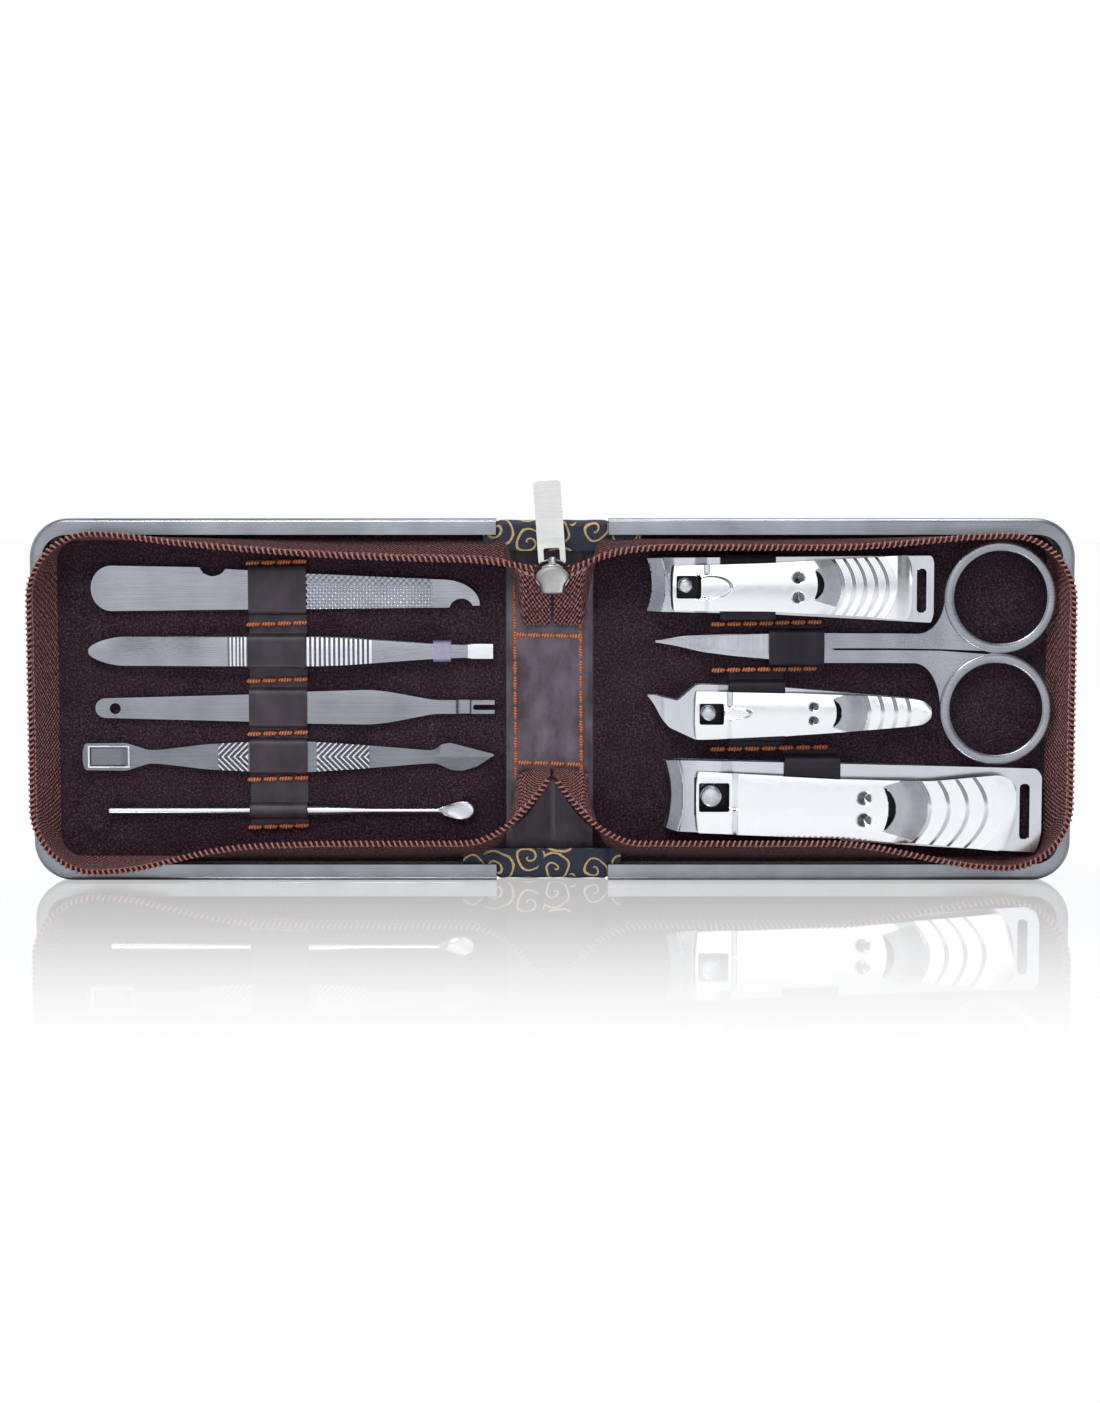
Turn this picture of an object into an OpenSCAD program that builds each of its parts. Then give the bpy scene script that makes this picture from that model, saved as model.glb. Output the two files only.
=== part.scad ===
/* [Case] */
// Length of one steel cover, from its spine edge to its outer end
cover_l = 101; // [100.5:0.5:112]
// Height of the case as it stands on its long edge
case_h = 79; // [78.5:0.5:90]
// Depth of the open case, from the zip's front to the back of the covers
case_d = 14; // [13.8:0.1:17]
// Thickness of the steel sheet
cover_t = 0.5; // [0.3:0.1:0.8]
// Depth of a cover's turned side
flange_d = 7; // [5.5:0.1:7.4]
// Corner radius of a cover
cover_r = 8.5; // [6:0.5:12]
// Rounding between a cover's back and its side
edge_r = 2; // [1:0.2:3]
// Width of the lip turned in along the long sides
lip_w = 3.5; // [2.5:0.1:3.5]
// Width of the lip turned in at the outer end
end_lip_w = 2.7; // [1.5:0.1:2.8]
// Thickness of the stiffener boards
board_t = 1.2; // [0.8:0.1:1.4]
// Thickness of the padded lining
lining_t = 0.8; // [0.5:0.1:0.9]
// Clearance round soft pieces and round tools that move
gap = 0.3; // [0.2:0.05:0.35]

/* [Spine] */
// Width of the spine between the two covers
spine_w = 24.4; // [24.2:0.1:26]
// Thickness of the outer spine fabric
fabric_t = 0.6; // [0.4:0.1:0.7]
// Thickness of the spine board
spine_board_t = 0.7; // [0.5:0.1:0.8]
// Thickness of the smooth spine lining
spine_lining_t = 0.7; // [0.4:0.1:0.8]
// Height of the fabric lip that shows between the covers
gusset_lip = 6.6; // [4:0.2:8]

/* [Zip] */
// Thickness of the zip tape
tape_t = 0.6; // [0.4:0.1:0.8]
// Distance of the tape's foot from the edge of the long sides
foot_in = 4.5; // [4.4:0.1:4.8]
// Distance of the tape's foot from the outer end
foot_end_in = 4.9; // [4.8:0.1:5.2]
// Corner radius of the tape's foot
foot_r = 5; // [4:0.5:5.5]
// Distance of the zip's rim from the edge of the long sides at its corners
rim_in = 3.6; // [3.4:0.1:4]
// Distance of the zip's rim from the outer end
rim_end_in = 1.3; // [1.2:0.1:2]
// Corner radius of the zip's rim
rim_r = 14; // [10:1:16]
// Sag of the left half's upper rim
sag_top_left = 5; // [0:0.5:6]
// Sag of the right half's upper rim
sag_top_right = 2.5; // [0:0.5:3.5]
// Rise of the lower rims between their corners
sag_bottom = 5.4; // [0:0.2:5.6]
// Length over which the rim leaves its corner and reaches its sag
sag_run = 38; // [25:1:45]
// Radius of the nylon coil
coil_r = 0.8; // [0.5:0.1:0.9]
// Distance from the middle of the case to where the tapes leave the covers
tape_start = 26; // [25.5:0.5:28]
// Height of the point where the two upper rims meet in the slider
meet_z = 68.5; // [67.5:0.5:69]
// Height of the lower end of the slanted tape behind the slider
slant_z = 56; // [54:0.5:58]
// Height of the point where the two lower rims meet
low_meet_z = 23; // [20:0.5:25]

/* [Slider] */
// Width of the slider at its shoulders
slider_w = 7.2; // [6.4:0.2:7.6]
// Width of the slider at its closed end
slider_tail_w = 5.2; // [4.4:0.2:5.8]
// Length of the slider
slider_l = 9.6; // [8.4:0.2:10]
// Thickness of each slider plate
slider_t = 0.9; // [0.7:0.1:1]
// Width of the pull
pull_w = 5.9; // [5:0.1:6.5]
// Length of the pull from its eye to its tip
pull_l = 18.2; // [15:0.2:20]
// Thickness of the pull
pull_t = 1.1; // [0.9:0.1:1.4]

/* [Tool loops] */
// Thickness of a tool loop
loop_t = 0.5; // [0.3:0.1:0.6]
// Width of the left band
band_w = 12.6; // [10:0.2:13]
// Distance of the left band from the spine's hinge line
band_x = 41.6; // [40:0.2:43]
// Width of each right loop
loop_w = 12; // [10:0.2:12.4]
// Height of a stitched row between two loops
row_h = 1.4; // [1:0.1:1.8]

/* [Nail file] */
// Length of the nail file
file_l = 84.6; // [80:0.2:85]
// Width of the nail file at its round end
file_w = 10; // [9:0.1:10.2]
// Width of the nail file at its hook
file_neck_w = 7.3; // [6.5:0.1:8]
// Thickness of the nail file
file_t = 1.2; // [0.8:0.1:1.5]
// Height of the nail file's middle above the base
file_z = 63.6; // [63.4:0.1:64]

/* [Tweezers] */
// Length of the tweezers
tweezers_l = 88.2; // [84:0.2:88.6]
// Width of the tweezers
tweezers_w = 6.3; // [5.5:0.1:6.6]
// Width of the tweezers at the tip
tweezers_tip_w = 3.1; // [2.4:0.1:3.6]
// Thickness of one arm
arm_t = 1; // [0.8:0.1:1.2]
// Space between the arms at the grip
arm_gap = 2; // [1.5:0.1:2.4]
// Height of the tweezers' middle above the base
tweezers_z = 50.1; // [49.8:0.1:50.4]
// Length of the clear tip guard
guard_l = 3.8; // [3:0.1:6]
// Wall of the clear tip guard
guard_t = 0.4; // [0.3:0.05:0.5]

/* [Cuticle trimmer] */
// Length of the cuticle trimmer
trimmer_l = 87.2; // [84:0.2:87.4]
// Greatest width of the cuticle trimmer
trimmer_w = 7.5; // [6.5:0.1:7.8]
// Width of the trimmer at its hanging hole and at its fork
trimmer_end_w = 3.1; // [2.8:0.1:4]
// Thickness of the cuticle trimmer
trimmer_t = 1.4; // [1:0.1:1.7]
// Radius of the trimmer's hanging hole
trimmer_hole_r = 1.15; // [0.8:0.05:1.3]
// Height of the trimmer's middle above the base
trimmer_z = 37.6; // [37.3:0.1:38]

/* [Cuticle pusher] */
// Length of the cuticle pusher
pusher_l = 90; // [86:0.5:90.5]
// Width of the pusher's handle
pusher_w = 6.7; // [6:0.1:7]
// Thickness of the cuticle pusher
pusher_t = 1.4; // [1:0.1:1.7]
// Height of the pusher's middle above the base
pusher_z = 26.9; // [26.7:0.1:27.2]

/* [Ear pick] */
// Length of the ear pick
pick_l = 80.4; // [76:0.2:82]
// Radius of the ear pick's rod
pick_r = 0.75; // [0.5:0.05:0.9]
// Width of the ear pick's spoon
spoon_w = 4; // [3:0.1:4.4]
// Height of the ear pick's middle above the base
pick_z = 15; // [14.6:0.1:15.4]

/* [Small clipper] */
// Length of the small clipper
small_l = 62.4; // [58:0.2:64]
// Width of the small clipper at its jaws
small_jaw_w = 11.5; // [10.5:0.1:12]
// Width of the small clipper at its tail
small_tail_w = 14.5; // [13:0.1:14.8]
// Height of the small clipper's middle above the base
small_z = 64.6; // [64.2:0.1:64.8]
// Thickness of one leaf of the small clipper
small_leaf_t = 1.1; // [0.9:0.1:1.3]
// Height of the small clipper's jaws
small_jaw_h = 4.7; // [4.4:0.1:5.2]
// Distance of the small clipper's post from its jaw edge
small_pin_x = 8.2; // [7.4:0.1:9]
// Radius of the small clipper's post
small_pin_r = 1.5; // [1.2:0.1:1.7]
// Length of the small clipper's lever
small_lever_l = 51.8; // [48:0.2:53]

/* [Cuticle clipper] */
// Length of the cuticle clipper
cuticle_l = 61.4; // [58:0.2:62]
// Greatest width of the cuticle clipper's body
cuticle_w = 12.1; // [11:0.1:12.4]
// Height of the cuticle clipper's middle above the base
cuticle_z = 37; // [36.8:0.1:37.2]
// Thickness of one leaf of the cuticle clipper
cuticle_leaf_t = 1.1; // [0.9:0.1:1.3]
// Height of the cuticle clipper's jaws
cuticle_jaw_h = 5; // [4.6:0.1:5.6]
// Distance of the cuticle clipper's post from its beak
cuticle_pin_x = 13; // [12.6:0.1:13.6]
// Radius of the cuticle clipper's post
cuticle_pin_r = 1.6; // [1.3:0.1:1.8]
// Length of the cuticle clipper's lever
cuticle_lever_l = 51.4; // [48:0.2:52]

/* [Large clipper] */
// Length of the large clipper
large_l = 82.8; // [78:0.2:83.2]
// Width of the large clipper at its jaws
large_jaw_w = 15.4; // [14:0.1:15.8]
// Width of the large clipper at its tail
large_tail_w = 18.6; // [17:0.1:18.8]
// Height of the large clipper's middle above the base
large_z = 18.9; // [18.8:0.1:19.2]
// Thickness of one leaf of the large clipper
large_leaf_t = 1.3; // [1.1:0.1:1.5]
// Height of the large clipper's jaws
large_jaw_h = 6.1; // [5.8:0.1:6.4]
// Distance of the large clipper's post from its jaw edge
large_pin_x = 10.2; // [9.6:0.1:11]
// Radius of the large clipper's post
large_pin_r = 2.2; // [1.8:0.1:2.4]
// Length of the large clipper's lever
large_lever_l = 69.4; // [66:0.2:70]

/* [Clippers, all three] */
// Thickness of a clipper's lever
lever_t = 1.1; // [0.9:0.1:1.3]
// Space between a lever and the jaw below it
lever_gap = 0.4; // [0.3:0.05:0.6]
// Height of a post's head above its lever
post_head = 0.8; // [0.5:0.1:1.1]
// Opening between the two cutting edges
bite = 1.4; // [1:0.1:1.8]
// Spacing of the grip ribs on a lever
rib_pitch = 1.9; // [1.4:0.1:2.6]
// Depth of the grip ribs on a lever
rib_d = 0.25; // [0.15:0.05:0.4]

/* [Scissors] */
// Distance from the scissors' tip to their pivot
blade_l = 31; // [28:0.5:32]
// Width of the closed blades at the pivot
blade_w = 6.4; // [5.4:0.1:6.6]
// Thickness of one scissor blade
blade_t = 1.3; // [1:0.1:1.4]
// Distance from the scissors' tip to the middle of the upper ring
ring_x = 74.6; // [72:0.2:75]
// Radius of a finger ring's opening
ring_in_r = 10; // [8.5:0.1:10.2]
// Radius of a ring's round section
ring_wire_r = 1.05; // [0.8:0.05:1.1]
// Height of the scissors' middle above the base
scissors_z = 50.8; // [50.6:0.1:51.2]
// Radius of the scissors' screw
screw_r = 1.6; // [1.2:0.1:1.8]

/* [Hidden] */
$fn = 48;

// Depths along Y: the back of the case is +Y and the open side faces -Y
back_y = case_d / 2;
front_y = -case_d / 2;
board_y = back_y - cover_t;
lining_y = board_y - board_t;
floor_y = lining_y - lining_t;
tool_y = floor_y - gap;
flange_y = back_y - flange_d;

// Places along X: the spine lies round X = 0
hinge_x = spine_w / 2 - 0.2;
hinge_y = front_y + hinge_x - 0.2;
end_x = spine_w / 2 + cover_l;
tape_x = tape_start;
tape_front_y = front_y + 2 * coil_r + 0.2;
coil_y = front_y + coil_r + 0.1;
mid_z = case_h / 2;

// Extrusions of outlines that face the viewer, run along X and run along Z
module facing(y_back, t) { translate([0, y_back, 0]) rotate([90, 0, 0]) linear_extrude(t) children(); }
module along_x(x0, len) { translate([x0, 0, 0]) rotate([90, 0, 90]) linear_extrude(len) children(); }
module along_z(z0, len) { translate([0, 0, z0]) linear_extrude(len) children(); }
module half(side) { if (side < 0) mirror([1, 0, 0]) children(); else children(); }
module rounded(r) { offset(r) offset(-r) children(); }

function smooth(t) = t <= 0 ? 0 : t >= 1 ? 1 : t * t * (3 - 2 * t);

// Outline of a half: square at the spine, round at the outer end
module half_outline(x0, inset_end, inset_side, r) {
    x1 = end_x - inset_end;
    z0 = inset_side;
    z1 = case_h - inset_side;
    translate([x0, z0]) square([x1 - r - x0, z1 - z0]);
    translate([x0, z0 + r]) square([x1 - x0, z1 - z0 - 2 * r]);
    for (z = [z0 + r, z1 - r]) translate([x1 - r, z]) circle(r);
}

// Tray-shaped solid with a round edge at its back: one hull of outlines that shrink towards the back
edge_steps = 5;
slice_t = 0.01;
module cover_solid(x0, inset, y_low, y_high, e) {
    hull() {
        facing(y_low + slice_t, slice_t) half_outline(x0, inset, inset, cover_r - inset, $fn = 32);
        for (i = [0 : edge_steps]) {
            a = 90 * i / edge_steps;
            cut = inset + e * (1 - cos(a));
            facing(y_high - e + e * sin(a) + (i == 0 ? slice_t : 0), slice_t)
                half_outline(x0, cut, cut, cover_r - cut, $fn = 32);
        }
    }
}

// Cut that runs past the surface it opens
over = 1;
module cover() {
    difference() {
        cover_solid(spine_w / 2, 0, flange_y, back_y, edge_r);
        cover_solid(spine_w / 2 - over, cover_t, flange_y + cover_t, board_y, edge_r - cover_t);
        facing(flange_y + 2 * cover_t, 2 * cover_t + over)
            half_outline(spine_w / 2 - over, end_lip_w, lip_w, cover_r - lip_w);
    }
}
module left_cover() { color("silver") half(-1) cover(); }
module right_cover() { color("silver") cover(); }

module board() {
    inset = edge_r + gap;
    facing(board_y, board_t) half_outline(spine_w / 2 + gap, inset, inset, cover_r);
}
module left_board() { color("tan") half(-1) board(); }
module right_board() { color("tan") board(); }

module lining() {
    facing(lining_y, lining_t)
        half_outline(spine_w / 2 + 0.1, foot_end_in - tape_t - 1.4, foot_in - tape_t - 0.4, foot_r + 1);
}
module left_lining() { color("#2b1d20") half(-1) lining(); }
module right_lining() { color("#2b1d20") lining(); }

spine_half = spine_w / 2 - gap;
module spine_panel(y_back, t, x_in, z_in) {
    facing(y_back, t) translate([-spine_half + x_in, z_in])
        square([2 * (spine_half - x_in), case_h - 2 * z_in]);
}
module spine_fabric() { color("#1c2233") spine_panel(back_y, fabric_t, 0, 0.3); }
module spine_board() { color("tan") spine_panel(back_y - fabric_t, spine_board_t, 1.2, 2); }
module spine_lining() {
    color("#4a3c42") spine_panel(back_y - fabric_t - spine_board_t, spine_lining_t, 0.6, 3);
}
// Band that closes the spine between the covers' sides, bent like a channel
module gusset() {
    along_x(-spine_half, 2 * spine_half) difference() {
        translate([flange_y + gap, 0]) square([flange_d - gap - fabric_t, gusset_lip]);
        translate([flange_y + gap + fabric_t, fabric_t]) square([flange_d, gusset_lip]);
    }
}
module spine_gusset_bottom() { color("#1c2233") translate([0, 0, 0.3]) gusset(); }
module spine_gusset_top() { color("#1c2233") translate([0, 0, case_h - 0.3]) mirror([0, 0, 1]) gusset(); }

// Zip: the same stations run round the foot of the tape and round its rim
top_steps = 12;
arc_steps = 8;
function round_path(x0, x1, z0, z1, r) = concat(
    [for (i = [0 : top_steps - 1]) [x0 + (x1 - r - x0) * i / top_steps, z1]],
    [for (i = [0 : arc_steps]) let (a = 90 - 90 * i / arc_steps) [x1 - r + r * cos(a), z1 - r + r * sin(a)]],
    [for (i = [0 : arc_steps]) let (a = -90 * i / arc_steps) [x1 - r + r * cos(a), z0 + r + r * sin(a)]],
    [for (i = [1 : top_steps]) [x1 - r - (x1 - r - x0) * i / top_steps, z0]]);
function sagged(p, top, bottom) =
    let (s = smooth((end_x - rim_end_in - rim_r - p[0]) / sag_run))
    [p[0], p[1] > mid_z ? p[1] - top * s : p[1] + bottom * s];
function foot_path(grow) = round_path(tape_x, end_x - foot_end_in + grow, foot_in - grow,
    case_h - foot_in + grow, foot_r + grow);
function rim_path(grow, top) = [
    for (p = round_path(tape_x, end_x - rim_end_in + grow, rim_in - grow, case_h - rim_in + grow,
        rim_r + grow)) sagged(p, top, sag_bottom)];

// Solid through rings of points, each ring with the same number of corners
module through(rings) {
    n = len(rings[0]);
    m = len(rings);
    polyhedron(
        points = [for (ring = rings) for (p = ring) p],
        faces = concat(
            [[for (k = [0 : n - 1]) k]],
            [for (i = [0 : m - 2]) for (k = [0 : n - 1])
                let (a = i * n + k, b = i * n + (k + 1) % n)
                each [[b, a, a + n], [b, a + n, b + n]]],
            [[for (k = [0 : n - 1]) m * n - 1 - k]]),
        convexity = 8);
}
module tape(top) {
    foot_out = foot_path(tape_t / 2);
    foot_inn = foot_path(-tape_t / 2);
    rim_out = rim_path(tape_t / 2, top);
    rim_inn = rim_path(-tape_t / 2, top);
    through([for (i = [0 : len(foot_out) - 1]) [
        [foot_out[i][0], floor_y, foot_out[i][1]],
        [rim_out[i][0], tape_front_y, rim_out[i][1]],
        [rim_inn[i][0], tape_front_y, rim_inn[i][1]],
        [foot_inn[i][0], floor_y, foot_inn[i][1]]]]);
}
module left_tape() { color("#6b4238") half(-1) tape(sag_top_left); }
module right_tape() { color("#6b4238") tape(sag_top_right); }

coil_sides = 8;
module coil(top) {
    path = rim_path(0, top);
    last = len(path) - 1;
    through([for (i = [0 : last])
        let (d = path[min(i + 1, last)] - path[max(i - 1, 0)], n = [d[1], -d[0]] / norm(d))
        [for (k = [0 : coil_sides - 1]) let (a = 360 * k / coil_sides)
            [path[i][0] + coil_r * cos(a) * n[0], coil_y + coil_r * sin(a),
                path[i][1] + coil_r * cos(a) * n[1]]]]);
}
module left_coil() { color("#b5877a") half(-1) coil(sag_top_left); }
module right_coil() { color("#b5877a") coil(sag_top_right); }

// Soft tape ends over the spine: at each station the foot and the rim are points in Y and Z
tape_end = tape_x - gap;
slab_n = 56;
function spine_x(i) = -tape_end + 2 * tape_end * i / slab_n;
flat_x = slider_w / 2 + 1.2;
function rim_top_z(x) =
    let (edge = case_h - rim_in - (x < 0 ? sag_top_left : sag_top_right))
    edge - (edge - meet_z) * pow(1 - max(0, abs(x) - flat_x) / (tape_x - flat_x), 2.4);
function foot_top_z(x) = slant_z + (case_h - foot_in - slant_z) * smooth((abs(x) - 6) / 16);
function rim_low_z(x) =
    let (edge = rim_in + sag_bottom) edge + (low_meet_z - edge) * pow(1 - abs(x) / tape_x, 2);
low_lean = 4.2;
function rim_low_y(x) = tape_front_y + low_lean * pow(1 - abs(x) / tape_x, 2);
function slab(x, foot, rim) =
    let (d = rim - foot, n = [-d[1], d[0]] / norm(d) * tape_t / 2)
    [[x, foot[0] - n[0], foot[1] - n[1]], [x, rim[0] - n[0], rim[1] - n[1]],
     [x, rim[0] + n[0], rim[1] + n[1]], [x, foot[0] + n[0], foot[1] + n[1]]];
module spine_tape_top() {
    color("#6b4238") through([for (i = [0 : slab_n]) let (x = spine_x(i))
        slab(x, [tool_y, foot_top_z(x)], [tape_front_y, rim_top_z(x)])]);
}
module spine_tape_bottom() {
    color("#6b4238") through([for (i = [0 : slab_n]) let (x = spine_x(i))
        slab(x, [tool_y, foot_in + 0.2], [rim_low_y(x), rim_low_z(x)])]);
}
// End tab: a triangle of smooth sheet in front of the place where the lower rims meet
tab_w = 14.4;
tab_t = 0.5;
tab_z = 10;
tab_n = 16;
tab_off = tape_t / 2 + 1.6 * gap;
module zip_end_tab() {
    color("#4a3c42") through([for (i = [0 : tab_n])
        let (
            x = tab_w * (i / tab_n - 0.5),
            foot = [tool_y, foot_in + 0.2],
            rim = [rim_low_y(x), rim_low_z(x)],
            d = (rim - foot) / (rim[1] - foot[1]),
            n = [-d[1], d[0]] / norm(d),
            top_z = tab_z + 0.4 + (low_meet_z - tab_z - 1) * (1 - abs(x) / (tab_w / 2)),
            low = foot + d * (tab_z - foot[1]),
            high = foot + d * (top_z - foot[1]),
            a = n * tab_off,
            b = n * (tab_off + tab_t))
        [for (q = [low + a, high + a, high + b, low + b]) [x, q[0], q[1]]]]);
}

// Slider: two plates with the slanted tape between them, in the plane of that tape
slant_foot = [tool_y, slant_z];
slant_rim = [tape_front_y, meet_z];
slant_a = atan((slant_foot[0] - slant_rim[0]) / (slant_rim[1] - slant_foot[1]));
slant_len = norm(slant_rim - slant_foot);
slider_up = slant_len - 1.2;
plate_gap = tape_t / 2 + gap;
module on_slant() { translate([0, slant_foot[0], slant_foot[1]]) rotate([slant_a, 0, 0]) children(); }
module slider_outline() {
    rounded(0.8) polygon([
        [-slider_tail_w / 2, slider_up - 0.55 * slider_l], [slider_tail_w / 2, slider_up - 0.55 * slider_l],
        [slider_w / 2, slider_up], [slider_w / 2, slider_up + 0.3 * slider_l],
        [-slider_w / 2, slider_up + 0.3 * slider_l], [-slider_w / 2, slider_up]]);
}
eye_r = 0.8;
bridge_w = 2.2;
bridge_h = 2.6;
bridge_v = slider_up - 1;
bridge_l = 6;
wedge_r = 1;
module zip_slider() {
    color("silver") on_slant() {
        facing(-plate_gap, slider_t) slider_outline();
        facing(plate_gap + slider_t, slider_t) slider_outline();
        // Wedge that parts the two tapes at the slider's mouth, above the end of the slanted tape
        translate([0, plate_gap + slider_t / 2, slant_len + gap + wedge_r])
            rotate([90, 0, 0]) cylinder(r = wedge_r, h = 2 * plate_gap + slider_t);
        // Bridge on the outer plate, which holds the pull's eye
        along_x(-bridge_w / 2, bridge_w) difference() {
            translate([plate_gap + slider_t / 2, bridge_v - bridge_l / 2])
                square([bridge_h + slider_t / 2, bridge_l]);
            translate([plate_gap + slider_t, bridge_v + 0.6])
                square([bridge_h - 0.9, bridge_l / 2 - 1.2]);
        }
    }
}
// Pull: a tab with an eye that runs through the bridge, standing up
eye_local = [plate_gap + slider_t + 0.85, bridge_v + 1.6];
eye_y = slant_foot[0] + eye_local[0] * cos(slant_a) - eye_local[1] * sin(slant_a);
eye_z = slant_foot[1] + eye_local[0] * sin(slant_a) + eye_local[1] * cos(slant_a);
pull_hole = [3.4, 3.6];
pull_bar_r = 0.5;
pull_bar_l = pull_hole[0] + 1;
pull_tilt = 4;
module zip_pull() {
    color("silver") translate([0, eye_y, eye_z]) rotate([0, -pull_tilt, 0]) {
        rotate([0, 90, 0]) translate([0, 0, -pull_bar_l / 2]) cylinder(r = pull_bar_r, h = pull_bar_l);
        facing(pull_t / 2, pull_t) difference() {
            rounded(0.9) translate([-pull_w / 2, -pull_bar_r]) square([pull_w, pull_l]);
            translate([-pull_hole[0] / 2, -pull_bar_r - 1]) square([pull_hole[0], pull_hole[1] + 1]);
        }
    }
}

// Loops: each is a band over one tool, drawn as [low row, high row, tool low, tool high, tool front]
function loop_top(lo, hi, a, b, y) = [
    [lo, floor_y - loop_t], [a - gap - loop_t, floor_y - loop_t - 0.6], [a - gap - 0.2, y - gap - loop_t],
    [b + gap + 0.2, y - gap - loop_t], [b + gap + loop_t, floor_y - loop_t - 0.6], [hi, floor_y - loop_t]];
module loop_over(x0, w, rows, tool, y) {
    a = tool[0];
    b = tool[1];
    along_x(x0, w) difference() {
        polygon([for (p = concat(
            [[rows[0], floor_y], [rows[0], floor_y - loop_t]],
            loop_top(rows[0] + row_h / 2, rows[1] - row_h / 2, a, b, y),
            [[rows[1], floor_y - loop_t], [rows[1], floor_y]])) [p[1], p[0]]]);
        translate([y - gap, a - gap]) square([floor_y + over - y + gap, b - a + 2 * gap]);
    }
}

// Left tools and the band that holds them
left_end = -(end_x - foot_end_in - tape_t);
band_left = -(hinge_x + band_x + band_w);
file_x = left_end + 7.2;
tweezers_x = left_end + 6.6;
trimmer_x = left_end + 7.9;
pusher_x = left_end + 4.9;
pick_x = left_end + 10.2;
tweezers_y = tool_y - 2 * arm_t - arm_gap;
pick_y = tool_y - 2.4;
row_1 = (file_z - file_w / 2 + tweezers_z + tweezers_w / 2) / 2 - 0.2;
row_2 = (tweezers_z - tweezers_w / 2 + trimmer_z + trimmer_w / 2) / 2;
row_3 = (trimmer_z - trimmer_w / 2 + pusher_z + pusher_w / 2) / 2;
row_4 = (pusher_z - pusher_w / 2 + pick_z) / 2 + 0.8;
row_0 = file_z + file_w / 2 + 1.3;
row_5 = pick_z - 3.8;
module left_loop_band() {
    color("#4a3c42") {
        loop_over(band_left, band_w, [row_1, row_0], [file_z - file_w / 2, file_z + file_w / 2 - 0.3],
            tool_y - file_t);
        loop_over(band_left, band_w, [row_2, row_1],
            [tweezers_z - tweezers_w / 2, tweezers_z + tweezers_w / 2], tweezers_y);
        loop_over(band_left, band_w, [row_3, row_2],
            [trimmer_z - trimmer_w / 2, trimmer_z + trimmer_w / 2], tool_y - trimmer_t);
        loop_over(band_left, band_w, [row_4, row_3],
            [pusher_z - pusher_w / 2, pusher_z + pusher_w / 2], tool_y - pusher_t);
        loop_over(band_left, band_w, [row_5, row_4], [pick_z - 1.2, pick_z + 1.2], pick_y);
    }
}

file_hook_l = 12;
file_notch = [23.4, 6.8, 2.4];
module nail_file() {
    r = file_w / 2;
    tail = file_l - file_hook_l;
    low = 0.6 - r;
    high = low + file_neck_w;
    bend = 0.72 * file_hook_l;
    color("silver") facing(tool_y, file_t) translate([file_x, file_z]) difference() {
        union() {
            translate([0.88 * r, 0]) resize([1.76 * r, file_w]) circle(r);
            polygon([[0.88 * r, -r], [tail, low], [tail, high], [0.5 * file_l, r - 1.6],
                [file_notch[0], r - 0.6], [0.88 * r, r]]);
            // Hook of the nail cleaner, a quarter of a ring past the cutting face
            intersection() {
                translate([tail, high - bend]) resize([2 * file_hook_l, 2 * bend]) circle(bend);
                translate([tail - 0.1, low]) square([file_hook_l + 0.1, file_neck_w + over]);
            }
        }
        translate([tail + 0.58 * file_hook_l, 0.2 - r]) circle(0.27 * file_hook_l);
        translate([tail + 0.88 * file_hook_l, 0.2 - r]) circle(0.13 * file_hook_l);
        translate([file_notch[0], r - file_notch[2]]) square([file_notch[1], file_notch[2] + over]);
    }
}

// Tweezers: the arms are flat strips joined at the round end, seen from the side in the outline below
bow_x = 0.34 * tweezers_l;
tip_x = tweezers_l - 16;
module tweezers_outline() {
    w = tweezers_w / 2;
    t = tweezers_tip_w / 2;
    end = tweezers_l - 5;
    rounded(0.2) polygon([[0, 0], [0.38 * w, 0.55 * w], [1.43 * w, w], [1.7 * bow_x, w], [tip_x, t + 0.3],
        [end, t], [tweezers_l, t], [tweezers_l, -t], [end, -t], [tip_x, -t - 0.3], [1.7 * bow_x, -w],
        [1.43 * w, -w], [0.38 * w, -0.55 * w]]);
}
tip_gap = 0.7;
ridge_pitch = 1.6;
module ridges(x0, count, y) {
    for (i = [0 : count - 1]) translate([x0 + i * ridge_pitch, y, -tweezers_w])
        cube([ridge_pitch / 2, over, 2 * tweezers_w]);
}
module tweezers_back_arm() {
    color("silver") translate([tweezers_x, tool_y, tweezers_z]) intersection() {
        facing(0, 2 * arm_t + arm_gap) tweezers_outline();
        along_z(-tweezers_w, 2 * tweezers_w) polygon([
            [0, 0], [tweezers_l, 0], [tweezers_l, -arm_t], [0, -arm_t]]);
    }
}
module tweezers_front_arm() {
    h = arm_t + arm_gap;
    j = arm_t + 0.1;
    e = arm_t + tip_gap;
    root = 2 * arm_gap + 2;
    end = tweezers_l - 5;
    color("silver") translate([tweezers_x, tool_y, tweezers_z]) difference() {
        intersection() {
            facing(0, 2 * arm_t + arm_gap) tweezers_outline();
            along_z(-tweezers_w, 2 * tweezers_w) polygon([
                [0, -j], [root, -j], [bow_x - 4, -h], [1.8 * bow_x, -h], [tip_x, -e - 0.2], [end, -e],
                [tweezers_l, -e], [tweezers_l, -e - 0.9 * arm_t], [end, -e - 0.9 * arm_t],
                [tip_x, -e - 0.2 - arm_t], [1.8 * bow_x, -h - arm_t], [bow_x - 4, -h - arm_t],
                [root, -j - arm_t], [0, -j - 0.8 * arm_t]]);
        }
        ridges(0.524 * tweezers_l, 9, 0.2 - over - h - arm_t);
    }
}
guard_x = tip_x + 3;
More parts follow.
